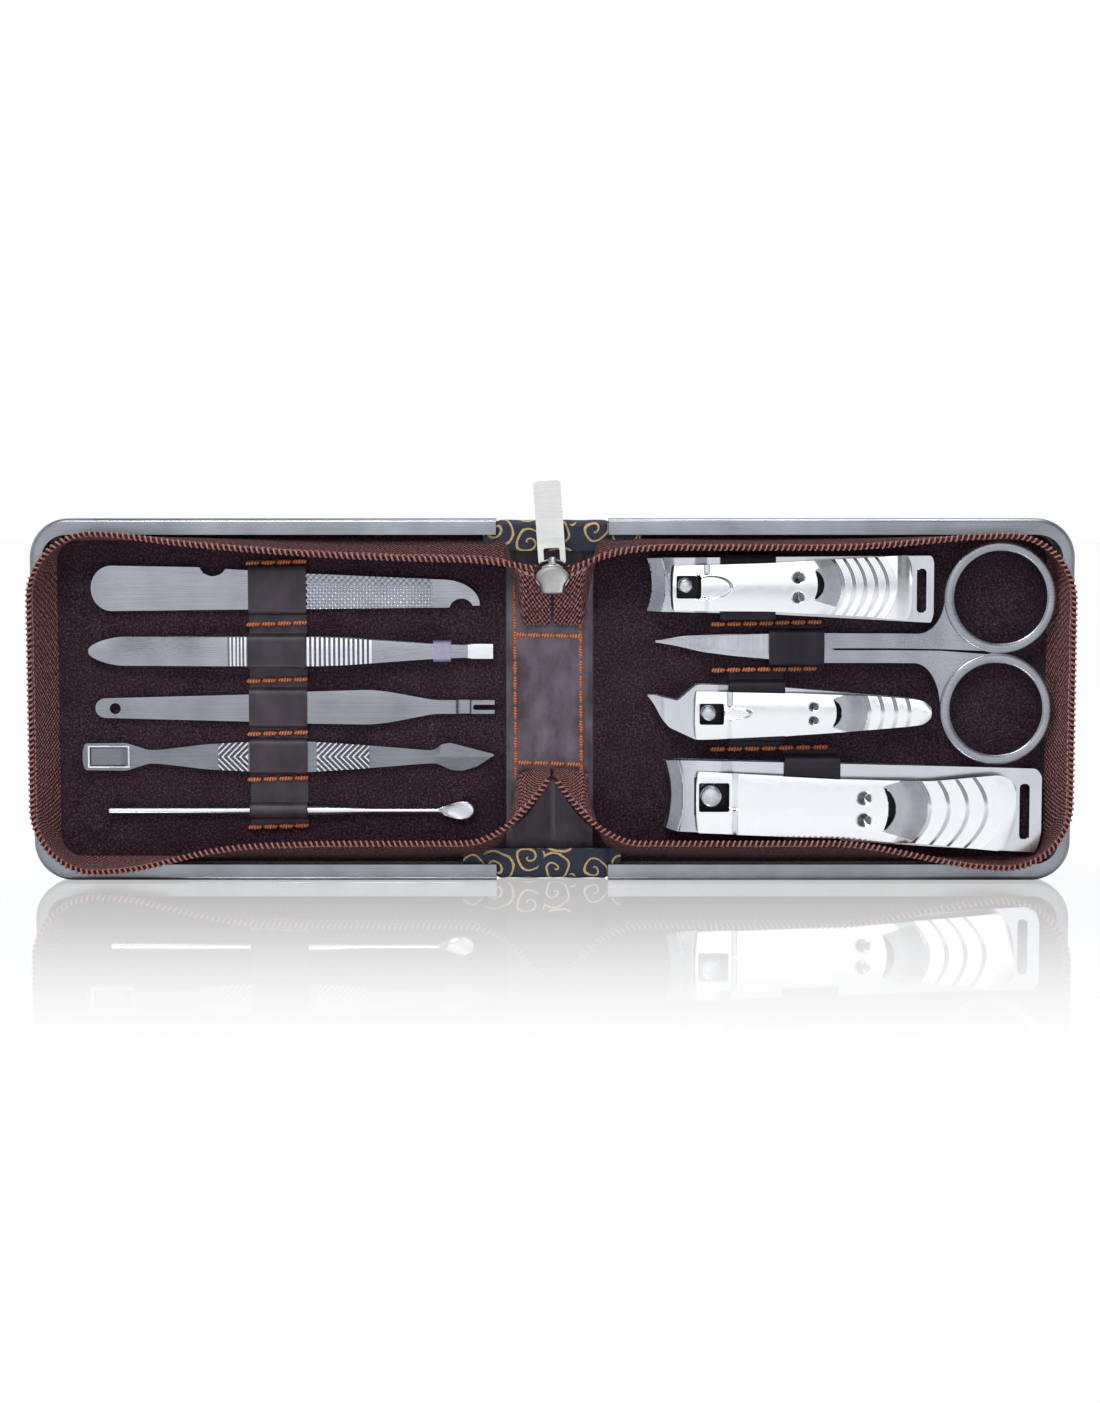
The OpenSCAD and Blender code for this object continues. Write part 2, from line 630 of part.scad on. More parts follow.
module tweezers_guard() {
    w = tweezers_tip_w + 0.8;
    d = 2 * arm_t + tip_gap + 0.2;
    color("white", 0.4) translate([tweezers_x + guard_x, tool_y, tweezers_z])
        along_x(0, guard_l) difference() {
            translate([-d - 0.15 - guard_t, -w / 2 - guard_t]) square([d + 0.3 + guard_t, w + 2 * guard_t]);
            translate([-d - 0.15, -w / 2]) square([d + 0.3 - guard_t + 0.25, w]);
        }
}

module cuticle_trimmer() {
    w = trimmer_w / 2;
    e = trimmer_end_w / 2;
    l = trimmer_l;
    fork = 4.6;
    slot_r = 0.45;
    color("silver") facing(tool_y, trimmer_t) translate([trimmer_x, trimmer_z]) difference() {
        rounded(0.9) polygon([[0, -1.45 * e], [0, 1.45 * e], [0.37 * l, 0.8 * w], [0.69 * l, w], [0.84 * l, e],
            [l, e], [l, -e], [0.84 * l, -e], [0.69 * l, -w], [0.37 * l, -0.8 * w]]);
        translate([2.5 * e, 0]) circle(trimmer_hole_r);
        // Slot of the fork, round at its root
        translate([l - fork, 0]) circle(slot_r);
        translate([l - fork, -slot_r]) square([fork + over, 2 * slot_r]);
    }
}

paddle_l = 9.6;
paddle_d = 0.4;
module cuticle_pusher() {
    w = pusher_w / 2;
    l = pusher_l;
    half_leaf = 0.093 * l;
    leaf_r = (pow(half_leaf, 2) + pow(0.95 * w, 2)) / (1.9 * w);
    side = [[paddle_l, 0.85 * w], [0.18 * l, 0.4 * w], [0.29 * l, 0.88 * w], [0.42 * l, w], [0.55 * l, w],
        [0.87 * l, 0.4 * w]];
    color("silver") translate([pusher_x, tool_y, pusher_z]) difference() {
        facing(0, pusher_t) {
            rounded(0.8) polygon(concat([[0.8, 0.85 * w]], side,
                [for (i = [len(side) - 1 : -1 : 0]) [side[i][0], -side[i][1]]], [[0.8, -0.85 * w]]));
            // Leaf blade: two arcs that meet in a point
            intersection_for (s = [-1, 1]) translate([l - half_leaf, s * (leaf_r - 0.95 * w)]) circle(leaf_r);
        }
        translate([1.8, paddle_d - pusher_t, -0.63 * w]) rotate([90, 0, 0])
            linear_extrude(over) square([paddle_l - 1.8, 1.26 * w]);
    }
}

pick_grip_r = 1.1;
pick_neck_r = 0.6;
spoon_l = 7.8;
module pick_rod(x0, x1, r0, r1) {
    translate([x0, 0, 0]) rotate([0, 90, 0]) cylinder(r1 = r0, r2 = r1, h = x1 - x0 + 0.1);
}
module ear_pick() {
    l = pick_l;
    color("silver") translate([pick_x, tool_y - 1.25, pick_z]) {
        pick_rod(0, 0.38 * l, pick_r, pick_r);
        pick_rod(0.38 * l, 0.46 * l, pick_r, pick_grip_r);
        pick_rod(0.46 * l, 0.58 * l, pick_grip_r, pick_grip_r);
        pick_rod(0.58 * l, 0.7 * l, pick_grip_r, pick_neck_r);
        pick_rod(0.7 * l, l - 0.8 * spoon_l, pick_neck_r, pick_neck_r);
        // Spoon: a flat drop with a shallow hollow
        facing(pick_neck_r, 2 * pick_neck_r) translate([l - spoon_l / 2, 0]) difference() {
            resize([spoon_l, spoon_w]) circle(spoon_w / 2);
            resize([0.6 * spoon_l, 0.62 * spoon_w]) circle(1);
        }
        facing(pick_neck_r, 0.4) translate([l - spoon_l / 2, 0])
            resize([0.75 * spoon_l, 0.75 * spoon_w]) circle(1);
    }
}

// Clippers. Height h counts from the clipper's back towards the viewer
rivet_r = 1.2;
hole_gap = 0.3;
tail_gap = 0.15;
step_l = 2.6;
step_h = 1.3;
plateau = 2.2;
module leaf_profile(points) {
    along_z(-large_jaw_w, 2 * large_jaw_w) polygon([for (p = points) [p[0], -p[1]]]);
}
function lower_profile(l, t, h) = [
    [0.2, (h - bite) / 2 - 0.4], [0.9, 0.4], [2.6, 0], [l, 0], [l, t], [3.2, t], [1.9, t + 0.2],
    [1.2, (h - bite) / 2]];
function upper_profile(l, t, h, flat) = [[0, (h + bite) / 2 + 0.1], [0.6, h - 1], [1.8, h - 0.2], [3.6, h],
    [flat, h], [flat + step_l, h - step_h], [0.55 * l, 2 * t + tail_gap + 1], [l - 14, 2 * t + tail_gap],
    [l, 2 * t + tail_gap], [l, t + tail_gap], [l - 14, t + tail_gap], [0.55 * l, t + tail_gap + 1],
    [flat + step_l, h - step_h - t], [flat, h - t], [4.2, h - t], [2.9, h - t - 0.3], [1.7, h - 1.6 - t / 3],
    [1.2, (h + bite) / 2]];
module bar_outline(l, jaw, tail, drop, r) {
    rounded(r) polygon([[0, -jaw / 2], [0, jaw / 2], [l, tail / 2 - drop], [l, -tail / 2 - drop],
        [0.45 * l, -jaw / 2 - 0.3 * drop - 0.3]]);
}
// Tail slot across the leaves
module tail_slot(l, w, drop) { translate([l - 4.6, -drop - w / 2]) square([2, w]); }
module lower_jaw(l, t, h, pin, pin_r, rivet) {
    difference() {
        intersection() {
            leaf_profile(lower_profile(l, t, h));
            facing(0, h) children();
        }
        translate([pin, 1, 0]) rotate([90, 0, 0]) cylinder(r = pin_r + 0.05, h = h + 2);
        translate([rivet, 1, 0]) rotate([90, 0, 0]) cylinder(r = rivet_r, h = h + 2);
        translate([pin, 0, 0]) rotate([90, 0, 0]) cylinder(r = pin_r + 0.6, h = 0.55);
    }
}
module upper_jaw(l, t, h, pin, pin_r, rivet) {
    difference() {
        intersection() {
            leaf_profile(upper_profile(l, t, h, pin + plateau));
            facing(0, h) children();
        }
        translate([pin, 1, 0]) rotate([90, 0, 0]) cylinder(r = pin_r + hole_gap, h = h + 2);
        translate([rivet, 1, 0]) rotate([90, 0, 0]) cylinder(r = rivet_r + 0.1, h = h + 2);
    }
}
module rivet(t, rivet) {
    translate([rivet, 0, 0]) {
        rotate([90, 0, 0]) cylinder(r = rivet_r, h = 2 * t + tail_gap + 0.2);
        translate([0, -2 * t - tail_gap - 0.1, 0]) rotate([90, 0, 0]) cylinder(r = rivet_r + 0.5, h = 0.4);
    }
}
// Post: a foot sunk in the lower leaf, a shaft, a neck for the lever and a head
module post(t, h, pin, pin_r) {
    neck = h + lever_gap - 0.2;
    translate([pin, 0, 0]) {
        rotate([90, 0, 0]) cylinder(r = pin_r + 0.5, h = 0.5);
        rotate([90, 0, 0]) cylinder(r = pin_r, h = neck);
        translate([0, 0.1 - neck, 0]) rotate([90, 0, 0]) cylinder(r = pin_r - 0.4, h = lever_t + 0.5);
        translate([0, -neck - lever_t - 0.4, 0]) rotate([90, 0, 0]) cylinder(r = pin_r, h = post_head);
    }
}
// Features shared by the levers, in the lever's own plane with the post at the origin
module crescent(x, r) {
    translate([x, 0]) difference() {
        circle(r);
        translate([-0.34 * r, 0]) circle(0.92 * r);
    }
}
module lever(h, pin_r, window, mark_x, mark_w, rib_x, rib_end) {
    y = -h - lever_gap;
    rib_r = 30;
    difference() {
        facing(y, lever_t) difference() {
            children();
            translate([-pin_r - 0.7, -window[1] / 2]) square(window);
            translate([mark_x, 0]) crescent(0, mark_w / 2);
        }
        // Two small dimples
        for (s = [-1, 1]) translate([mark_x - 5, y - lever_t + 0.5, s * mark_w * 0.27])
            rotate([90, 0, 0]) cylinder(r = 0.6, h = 2);
        // Curved grip ribs
        facing(y - lever_t + rib_d, 1) for (x = [rib_x : rib_pitch : rib_end]) translate([x - rib_r, 0])
            difference() {
                circle(rib_r + rib_pitch / 4, $fn = 180);
                circle(rib_r - rib_pitch / 4, $fn = 180);
                translate([-3 * rib_r, -2 * rib_r]) square([3.5 * rib_r, 4 * rib_r]);
            }
    }
}

// Small clipper
small_from_end = 92.7;
small_x = end_x - small_from_end;
small_drop = 1;
small_rivet_x = small_l - 8.4;
module at_small() { translate([small_x, tool_y, small_z]) children(); }
module small_outline() {
    difference() {
        bar_outline(small_l, small_jaw_w, small_tail_w, small_drop, 1.2);
        tail_slot(small_l, 9.6, small_drop);
    }
}
module small_lower_jaw() {
    color("silver") at_small()
        lower_jaw(small_l, small_leaf_t, small_jaw_h, small_pin_x, small_pin_r, small_rivet_x)
            small_outline();
}
module small_upper_jaw() {
    color("silver") at_small()
        upper_jaw(small_l, small_leaf_t, small_jaw_h, small_pin_x, small_pin_r, small_rivet_x)
            small_outline();
}
module small_rivet() { color("gray") at_small() rivet(small_leaf_t, small_rivet_x); }
module small_post() { color("gray") at_small() post(small_leaf_t, small_jaw_h, small_pin_x, small_pin_r); }
module small_lever() {
    l = small_lever_l;
    w = small_jaw_w / 2;
    back = 1.8 * small_pin_r;
    color("white") at_small() translate([small_pin_x, 0, 0])
        lever(small_jaw_h, small_pin_r, [4 * small_pin_r, 3.2 * small_pin_r], 0.55 * l, 0.15 * l,
            0.7 * l, 0.9 * l)
            rounded(0.9) polygon([[-back, -0.87 * w], [-back, 0.73 * w], [0.39 * l, 0.83 * w],
                [l - back, 1.15 * w], [l - back, -1.36 * w], [0.73 * l, -1.15 * w], [0.39 * l, -0.97 * w]]);
}

// Cuticle clipper
cuticle_from_end = 92.4;
cuticle_x = end_x - cuticle_from_end;
cuticle_rivet_x = cuticle_l - 8;
module at_cuticle() { translate([cuticle_x, tool_y, cuticle_z]) children(); }
module cuticle_outline() {
    w = cuticle_w / 2;
    l = cuticle_l;
    rounded(0.4) polygon([[0, 0.6 * w], [0.02 * l, 0.61 * w], [0.1 * l, 0.38 * w], [0.17 * l, w],
        [0.46 * l, 0.9 * w], [0.95 * l, 0.4 * w], [l, 0.2 * w], [l, -0.2 * w], [0.95 * l, -0.4 * w],
        [0.46 * l, -0.93 * w], [0.17 * l, -w], [0.07 * l, -0.5 * w], [0.05 * l, -0.26 * w],
        [0.02 * l, 0.33 * w]]);
}
module cuticle_lower_jaw() {
    color("silver") at_cuticle()
        lower_jaw(cuticle_l, cuticle_leaf_t, cuticle_jaw_h, cuticle_pin_x, cuticle_pin_r, cuticle_rivet_x)
            cuticle_outline();
}
module cuticle_upper_jaw() {
    color("silver") at_cuticle()
        upper_jaw(cuticle_l, cuticle_leaf_t, cuticle_jaw_h, cuticle_pin_x, cuticle_pin_r, cuticle_rivet_x)
            cuticle_outline();
}
module cuticle_rivet() { color("gray") at_cuticle() rivet(cuticle_leaf_t, cuticle_rivet_x); }
module cuticle_post() {
    color("gray") at_cuticle() post(cuticle_leaf_t, cuticle_jaw_h, cuticle_pin_x, cuticle_pin_r);
}
module cuticle_lever() {
    l = cuticle_lever_l;
    w = cuticle_w / 2;
    back = 1.8 * cuticle_pin_r;
    color("white") at_cuticle() translate([cuticle_pin_x, 0, 0])
        lever(cuticle_jaw_h, cuticle_pin_r, [3.8 * cuticle_pin_r, 2.9 * cuticle_pin_r], 0.51 * l, 0.13 * l,
            0.68 * l, 0.86 * l)
            rounded(0.8) polygon([[-back, -0.96 * w], [-back, 0.76 * w], [0.39 * l, 0.69 * w],
                [0.88 * l, 0.48 * w], [l - back, 0.07 * w], [0.88 * l, -0.41 * w], [0.39 * l, -0.79 * w]]);
}

// Large clipper
large_from_end = 89;
large_x = end_x - large_from_end;
large_drop = 3.9;
large_rivet_x = large_l - 10;
module at_large() { translate([large_x, tool_y, large_z]) children(); }
module large_outline() {
    difference() {
        rounded(2.4) bar_outline(large_l, large_jaw_w, large_tail_w, large_drop, 1);
        tail_slot(large_l, 12.2, large_drop);
    }
}
module large_lower_jaw() {
    color("silver") at_large()
        lower_jaw(large_l, large_leaf_t, large_jaw_h, large_pin_x, large_pin_r, large_rivet_x)
            large_outline();
}
module large_upper_jaw() {
    color("silver") at_large()
        upper_jaw(large_l, large_leaf_t, large_jaw_h, large_pin_x, large_pin_r, large_rivet_x)
            large_outline();
}
module large_rivet() { color("gray") at_large() rivet(large_leaf_t, large_rivet_x); }
module large_post() { color("gray") at_large() post(large_leaf_t, large_jaw_h, large_pin_x, large_pin_r); }
module large_lever() {
    l = large_lever_l;
    w = large_jaw_w / 2;
    back = 1.45 * large_pin_r;
    color("white") at_large() translate([large_pin_x, 0, 0])
        lever(large_jaw_h, large_pin_r, [3.3 * large_pin_r, 2.9 * large_pin_r], 0.55 * l, 0.14 * l,
            0.66 * l, 0.93 * l)
            rounded(1.6) polygon([[-back, -1.05 * w], [-back, 0.73 * w], [0.42 * l, 0.48 * w],
                [0.69 * l, 0.42 * w], [0.89 * l, 0.58 * w], [l - back, 0.42 * w], [l - back, -1.61 * w],
                [0.69 * l, -1.38 * w], [0.42 * l, -1.2 * w]]);
}

// Scissors: two blades that cross at a screw; each ends in a finger ring
scissors_from_end = 90.7;
scissors_x = end_x - scissors_from_end;
ring_r = ring_in_r + ring_wire_r;
ring_lift = 4;
ring_up = 11.2;
ring_down = 13.1;
scissors_top = tool_y - 2 * blade_t - 0.05;
screw_head = 0.35;
module at_scissors() { translate([scissors_x, tool_y, scissors_z]) children(); }
module blade_outline(side) {
    w = blade_w / 2;
    reach = ring_x - ring_r + ring_wire_r;
    cross = 1.13 * blade_l;
    tip = (0.5 - 0.06 * side) * w;
    inner = side > 0 ? -0.03 * w : -0.13 * w;
    back = [[cross, -w], [0.87 * blade_l, -w], [0.52 * blade_l, -0.45 * w], [0.19 * blade_l, 0.19 * w]];
    rounded(0.2) polygon(side > 0
        ? concat([[0, tip], [0.19 * blade_l, 0.81 * w], [0.52 * blade_l, 0.9 * w], [cross, w], [reach, w],
            [reach, inner], [1.13 * cross, inner]], back)
        : concat([[0, tip], [0.19 * blade_l, 0.56 * w], [0.52 * blade_l, 0.9 * w], [0.87 * blade_l, w],
            [cross, w], [1.13 * cross, inner], [reach, inner], [reach, -w]], back));
}
module ring(x, z) {
    translate([x, -ring_lift, z]) rotate([90, 0, 0])
        rotate_extrude() translate([ring_r, 0]) circle(ring_wire_r, $fn = 24);
}
// Neck from a blade to its ring, rising towards the viewer
neck_l = 6;
neck_a = 52;
module neck(x, z, y) {
    hull() {
        translate([ring_x - ring_r - neck_l, y, sign(z) * 0.56 * blade_w / 2]) rotate([90, 0, 0])
            cylinder(r = 0.19 * blade_w, h = blade_t, $fn = 24);
        translate([x - ring_r * cos(neck_a), 0.5 - ring_lift, z - sign(z) * ring_r * sin(neck_a)])
            rotate([90, 0, 0]) cylinder(r = 0.86 * ring_wire_r, h = 1, $fn = 24);
    }
}
module scissors_back_blade() {
    color("silver") at_scissors() {
        difference() {
            facing(0, blade_t) blade_outline(1);
            translate([blade_l, 1, 0]) rotate([90, 0, 0]) cylinder(r = screw_r, h = 9);
        }
        ring(ring_x, ring_up);
        neck(ring_x, ring_up, 0);
    }
}
module scissors_front_blade() {
    color("silver") at_scissors() {
        difference() {
            facing(-blade_t - 0.05, blade_t) blade_outline(-1);
            translate([blade_l, 1, 0]) rotate([90, 0, 0]) cylinder(r = screw_r + 0.05, h = 9);
        }
        ring(ring_x - 0.7, -ring_down);
        neck(ring_x - 0.7, -ring_down, -blade_t - 0.05);
    }
}
module scissors_screw() {
    color("gray") at_scissors() translate([blade_l, 0, 0]) {
        rotate([90, 0, 0]) cylinder(r = screw_r, h = 2 * blade_t + 0.1);
        translate([0, -2 * blade_t - 0.1, 0]) rotate([90, 0, 0]) cylinder(r = screw_r + 0.6, h = screw_head);
    }
}

// Right loops, one over each tool
split_1 = scissors_z + blade_w / 2 + 1.6;
split_2 = (scissors_z - blade_w / 2 + cuticle_z + cuticle_w / 2) / 2;
split_3 = (cuticle_z - cuticle_w / 2 + large_z + large_jaw_w / 2) / 2;
small_loop_from_pin = 7.7;
scissors_loop_from_tip = 24.6;
large_loop_from_pin = 16.2;
small_loop_x = small_x + small_pin_x + small_loop_from_pin;
cuticle_loop_x = cuticle_x + cuticle_pin_x + plateau + step_l + 0.1;
scissors_loop_x = scissors_x + scissors_loop_from_tip;
large_loop_x = large_x + large_pin_x + large_loop_from_pin;
function leaf_front(l, t, h, pin, x) =
    let (x1 = pin + plateau + step_l, x2 = 0.55 * l, h1 = h - step_h, h2 = 2 * t + tail_gap + 1)
    tool_y - (x < x1 ? h : max(h2, h1 + (h2 - h1) * (x - x1) / (x2 - x1)));
module small_loop() {
    w = small_jaw_w / 2;
    color("#4a3c42") loop_over(small_loop_x, loop_w, [split_1, small_z + w + 1.6],
        [small_z - w - 1.4, small_z + w + 0.3],
        leaf_front(small_l, small_leaf_t, small_jaw_h, small_pin_x, small_loop_x - small_x));
}
module scissors_loop() {
    color("#4a3c42") loop_over(scissors_loop_x, loop_w, [split_2, split_1],
        [scissors_z - blade_w / 2 - 0.6, scissors_z + blade_w / 2 + 0.3], scissors_top - screw_head);
}
module cuticle_loop() {
    w = cuticle_w / 2;
    color("#4a3c42") loop_over(cuticle_loop_x, loop_w, [split_3, split_2], [cuticle_z - w, cuticle_z + w],
        leaf_front(cuticle_l, cuticle_leaf_t, cuticle_jaw_h, cuticle_pin_x, cuticle_loop_x - cuticle_x));
}
module large_loop() {
    w = large_jaw_w / 2;
    color("#4a3c42") loop_over(large_loop_x, loop_w, [large_z - w - 4.6, split_3],
        [large_z - w - 3.2, large_z + w],
        leaf_front(large_l, large_leaf_t, large_jaw_h, large_pin_x, large_loop_x - large_x));
}

left_cover();
right_cover();
left_board();
right_board();
left_lining();
right_lining();
spine_fabric();
spine_board();
spine_lining();
spine_gusset_top();
spine_gusset_bottom();
left_tape();
right_tape();
left_coil();
right_coil();
spine_tape_top();
spine_tape_bottom();
zip_end_tab();
zip_slider();
zip_pull();
left_loop_band();
small_loop();
scissors_loop();
cuticle_loop();
large_loop();
nail_file();
tweezers_back_arm();
tweezers_front_arm();
tweezers_guard();
cuticle_trimmer();
cuticle_pusher();
ear_pick();
small_lower_jaw();
small_upper_jaw();
small_rivet();
small_post();
small_lever();
cuticle_lower_jaw();
cuticle_upper_jaw();
cuticle_rivet();
cuticle_post();
cuticle_lever();
large_lower_jaw();
large_upper_jaw();
large_rivet();
large_post();
large_lever();
scissors_back_blade();
scissors_front_blade();
scissors_screw();
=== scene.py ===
import logging
import math
from dataclasses import dataclass
from enum import Enum
from functools import lru_cache, partial
from typing import Callable, Sequence

import bpy
import numpy as np
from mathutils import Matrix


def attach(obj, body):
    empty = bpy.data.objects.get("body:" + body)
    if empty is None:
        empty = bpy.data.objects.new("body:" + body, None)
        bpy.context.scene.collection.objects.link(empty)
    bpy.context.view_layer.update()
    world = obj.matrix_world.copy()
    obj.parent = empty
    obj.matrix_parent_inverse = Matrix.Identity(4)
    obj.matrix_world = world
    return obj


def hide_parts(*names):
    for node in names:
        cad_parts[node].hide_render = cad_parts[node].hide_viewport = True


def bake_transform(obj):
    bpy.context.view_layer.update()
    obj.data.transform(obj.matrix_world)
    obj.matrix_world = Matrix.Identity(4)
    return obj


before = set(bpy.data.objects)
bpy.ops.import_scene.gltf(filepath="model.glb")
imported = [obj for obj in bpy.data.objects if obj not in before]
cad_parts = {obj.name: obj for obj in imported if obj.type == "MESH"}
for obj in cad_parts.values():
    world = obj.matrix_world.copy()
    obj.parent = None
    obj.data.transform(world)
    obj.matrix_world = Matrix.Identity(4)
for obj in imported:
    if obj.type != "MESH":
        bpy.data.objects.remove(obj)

LOG = logging.getLogger("manicure_case")
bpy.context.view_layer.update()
MM = 0.001
Array = np.ndarray
Profile = Callable[[Array], Array]
Field = Callable[[Array, Array], Array]
Values = Sequence[object] | dict[int | str, object]
Tree = bpy.types.NodeTree
Node = bpy.types.Node
Material = bpy.types.Material
Object = bpy.types.Object


class Side(Enum):
    """Half of the case: the sign is that of its X."""

    LEFT = -1.0
    RIGHT = 1.0

    @property
    def body(self) -> str:
        """Name of the half's body."""
        return "left_half" if self is Side.LEFT else "right_half"

    @property
    def word(self) -> str:
        """Short name for pieces."""
        return self.name.lower()


class Grain(Enum):
    """Way in which a metal's grinding lines run: stretch of the pattern along X, Y and Z in millimetres."""

    ALONG = (14.0, 0.16, 0.16)
    ACROSS = (0.16, 0.16, 12.0)
    NONE = (1.2, 1.2, 1.2)


# ---------------------------------------------------------------- sizes shared with the solids, in millimetres


@dataclass(frozen=True)
class CaseSizes:
    """Sizes of the case, the same as the solids'."""

    end_x: float = 113.2
    spine_w: float = 24.4
    case_h: float = 79.0
    back_y: float = 7.0
    lining_y: float = 5.3
    floor_y: float = 4.5
    tool_y: float = 4.2
    cover_t: float = 0.5
    cover_r: float = 8.5
    edge_r: float = 2.0
    lip_w: float = 3.5
    end_lip_w: float = 2.7
    foot_in: float = 4.5
    foot_end_in: float = 4.9
    foot_r: float = 5.0
    rim_in: float = 3.6
    rim_end_in: float = 1.3
    rim_r: float = 14.0
    rim_y: float = -5.2
    coil_y: float = -6.1
    tape_x: float = 26.0
    meet_z: float = 68.5
    slant_z: float = 56.0
    low_meet_z: float = 23.0
    sag_bottom: float = 5.4
    sag_run: float = 38.0

    @property
    def left_end(self) -> float:
        """X of the left tray's inner end."""
        return -(self.end_x - self.foot_end_in - 0.6)

    def sag_top(self, side: Side) -> float:
        """Sag of a half's upper rim."""
        return 5.0 if side is Side.LEFT else 2.5


SIZES = CaseSizes()


# ---------------------------------------------------------------- arithmetic on arrays


def smooth_step(t: Array) -> Array:
    """Ease from 0 to 1: three t squared less two t cubed, flat outside."""
    t = np.clip(t, 0.0, 1.0)
    return t * t * (3.0 - 2.0 * t)


def soft(points: Sequence[tuple[float, float]], blur: float = 0.0) -> Profile:
    """Curve through points, with its corners averaged over a width.

    Args:
        points: pairs of place and value, in order of place.
        blur: half width of the average.

    Returns:
        A function of an array of places.
    """
    table = np.array(points, dtype=float)

    def curve(x: Array) -> Array:
        """Mean of the broken line at nine places round each x."""
        shifts = np.linspace(-blur, blur, 9) if blur else np.zeros(1)
        return np.mean([np.interp(x + s, table[:, 0], table[:, 1]) for s in shifts], axis=0)

    return curve


def end_cap(x: Array, start: float, length: float, stop: float, stop_length: float) -> Array:
    """Factor 0 to 1 that rounds both ends of an outline like quarter ellipses.

    Args:
        x: places along the outline.
        start: where it begins.
        length: how long the first rounding is.
        stop: where it ends.
        stop_length: how long the last rounding is.

    Returns:
        The factor at each place.
    """
    near = np.clip((x - start) / max(length, 1e-6), 0.0, 1.0)
    far = np.clip((stop - x) / max(stop_length, 1e-6), 0.0, 1.0)
    return np.sqrt(1.0 - (1.0 - near) ** 2) * np.sqrt(1.0 - (1.0 - far) ** 2)


def plateau(x: Array, start: float, stop: float, rise: float, fall: float) -> Array:
    """Factor that eases from 0 to 1 after start and back to 0 before stop.

    Args:
        x: places.
        start: where it begins to rise.
        stop: where it is back at 0.
        rise: how long it rises.
        fall: how long it falls.

    Returns:
        The factor at each place.
    """
    return smooth_step((x - start) / rise) * smooth_step((stop - x) / fall)


def capped(points: Sequence[tuple[float, float]], blur: float, *ends: float) -> Profile:
    """Soft curve with both ends rounded.

    Args:
        points: pairs of place and value, in order of place.
        blur: half width of the average.
        ends: start and length of the first rounding, stop and length of the last one.

    Returns:
        A function of an array of places.
    """
    curve = soft(points, blur)
    return lambda x: curve(x) * end_cap(x, *ends)


def constant(value: float) -> Callable[..., Array]:
    """Profile or field that has the same value everywhere."""
    return lambda x, *_: np.full_like(x, value)


def circle(count: int) -> Array:
    """Angles of points spread evenly round a circle."""
    return np.linspace(0.0, 2.0 * math.pi, count, endpoint=False)


def squared(a: Array, power: float) -> tuple[Array, Array]:
    """Squared oval at the angles a: cosine and sine, each with its size raised to a power below 1."""
    return tuple(np.sign(part) * np.abs(part) ** power for part in (np.cos(a), np.sin(a)))


def unit(v: Array) -> Array:
    """Vectors divided by their length."""
    return v / np.linalg.norm(v, axis=-1, keepdims=True)


def stacked(*parts: Array | float) -> Array:
    """Points out of their coordinates, which are broadcast to one shape."""
    return np.stack(np.broadcast_arrays(*parts), -1)


def stations(start: float, stop: float, step: float, ends: float = 0.0,
             fine: Sequence[tuple[float, float, float]] = ()) -> Array:
    """Places from start to stop, closer together near the ends and in fine zones.

    The steps are added up as a density and the places are read off at equal sums.

    Args:
        start: first place.
        stop: last place.
        step: usual distance.
        ends: length at both ends over which the distance shrinks.
        fine: zones as start, stop and distance.

    Returns:
        The places in order.
    """
    x = np.linspace(start, stop, 8001)
    local = np.full_like(x, step)
    for a, b, s in fine:
        local = np.where((x >= a) & (x <= b), s, local)
    near = np.minimum(x - start, stop - x)
    if ends > 0.0:
        local = np.where(near < ends, local * np.maximum(np.sqrt(near / ends), 0.15), local)
    count = np.concatenate([[0.0], np.cumsum(np.diff(x) / local[1:])])
    return np.interp(np.linspace(0.0, count[-1], int(round(count[-1])) + 1), count, x)


def grid_faces(rows: int, columns: int, wrap_rows: bool = False, wrap_columns: bool = False) -> Array:
    """Quads of a grid whose vertex (i, j) has the number i times columns plus j.

    Args:
        rows: count of i.
        columns: count of j.
        wrap_rows: whether the last row meets the first.
        wrap_columns: whether the last column meets the first.

    Returns:
        Four vertex numbers for each quad.
    """
    i, j = np.meshgrid(np.arange(rows if wrap_rows else rows - 1),
                       np.arange(columns if wrap_columns else columns - 1), indexing="ij")
    up, right = (i + 1) % rows, (j + 1) % columns
    return np.stack([i * columns + j, up * columns + j, up * columns + right, i * columns + right], -1).reshape(-1, 4)


def signed_volume(verts: Array, quads: Array) -> float:
    """Six times the volume inside the quads: each is two triangles with the origin as apex."""
    a, b, c, d = (verts[quads[:, k]] for k in range(4))
    return float(np.einsum("ij,ij->", a, np.cross(b, c)) + np.einsum("ij,ij->", a, np.cross(c, d)))


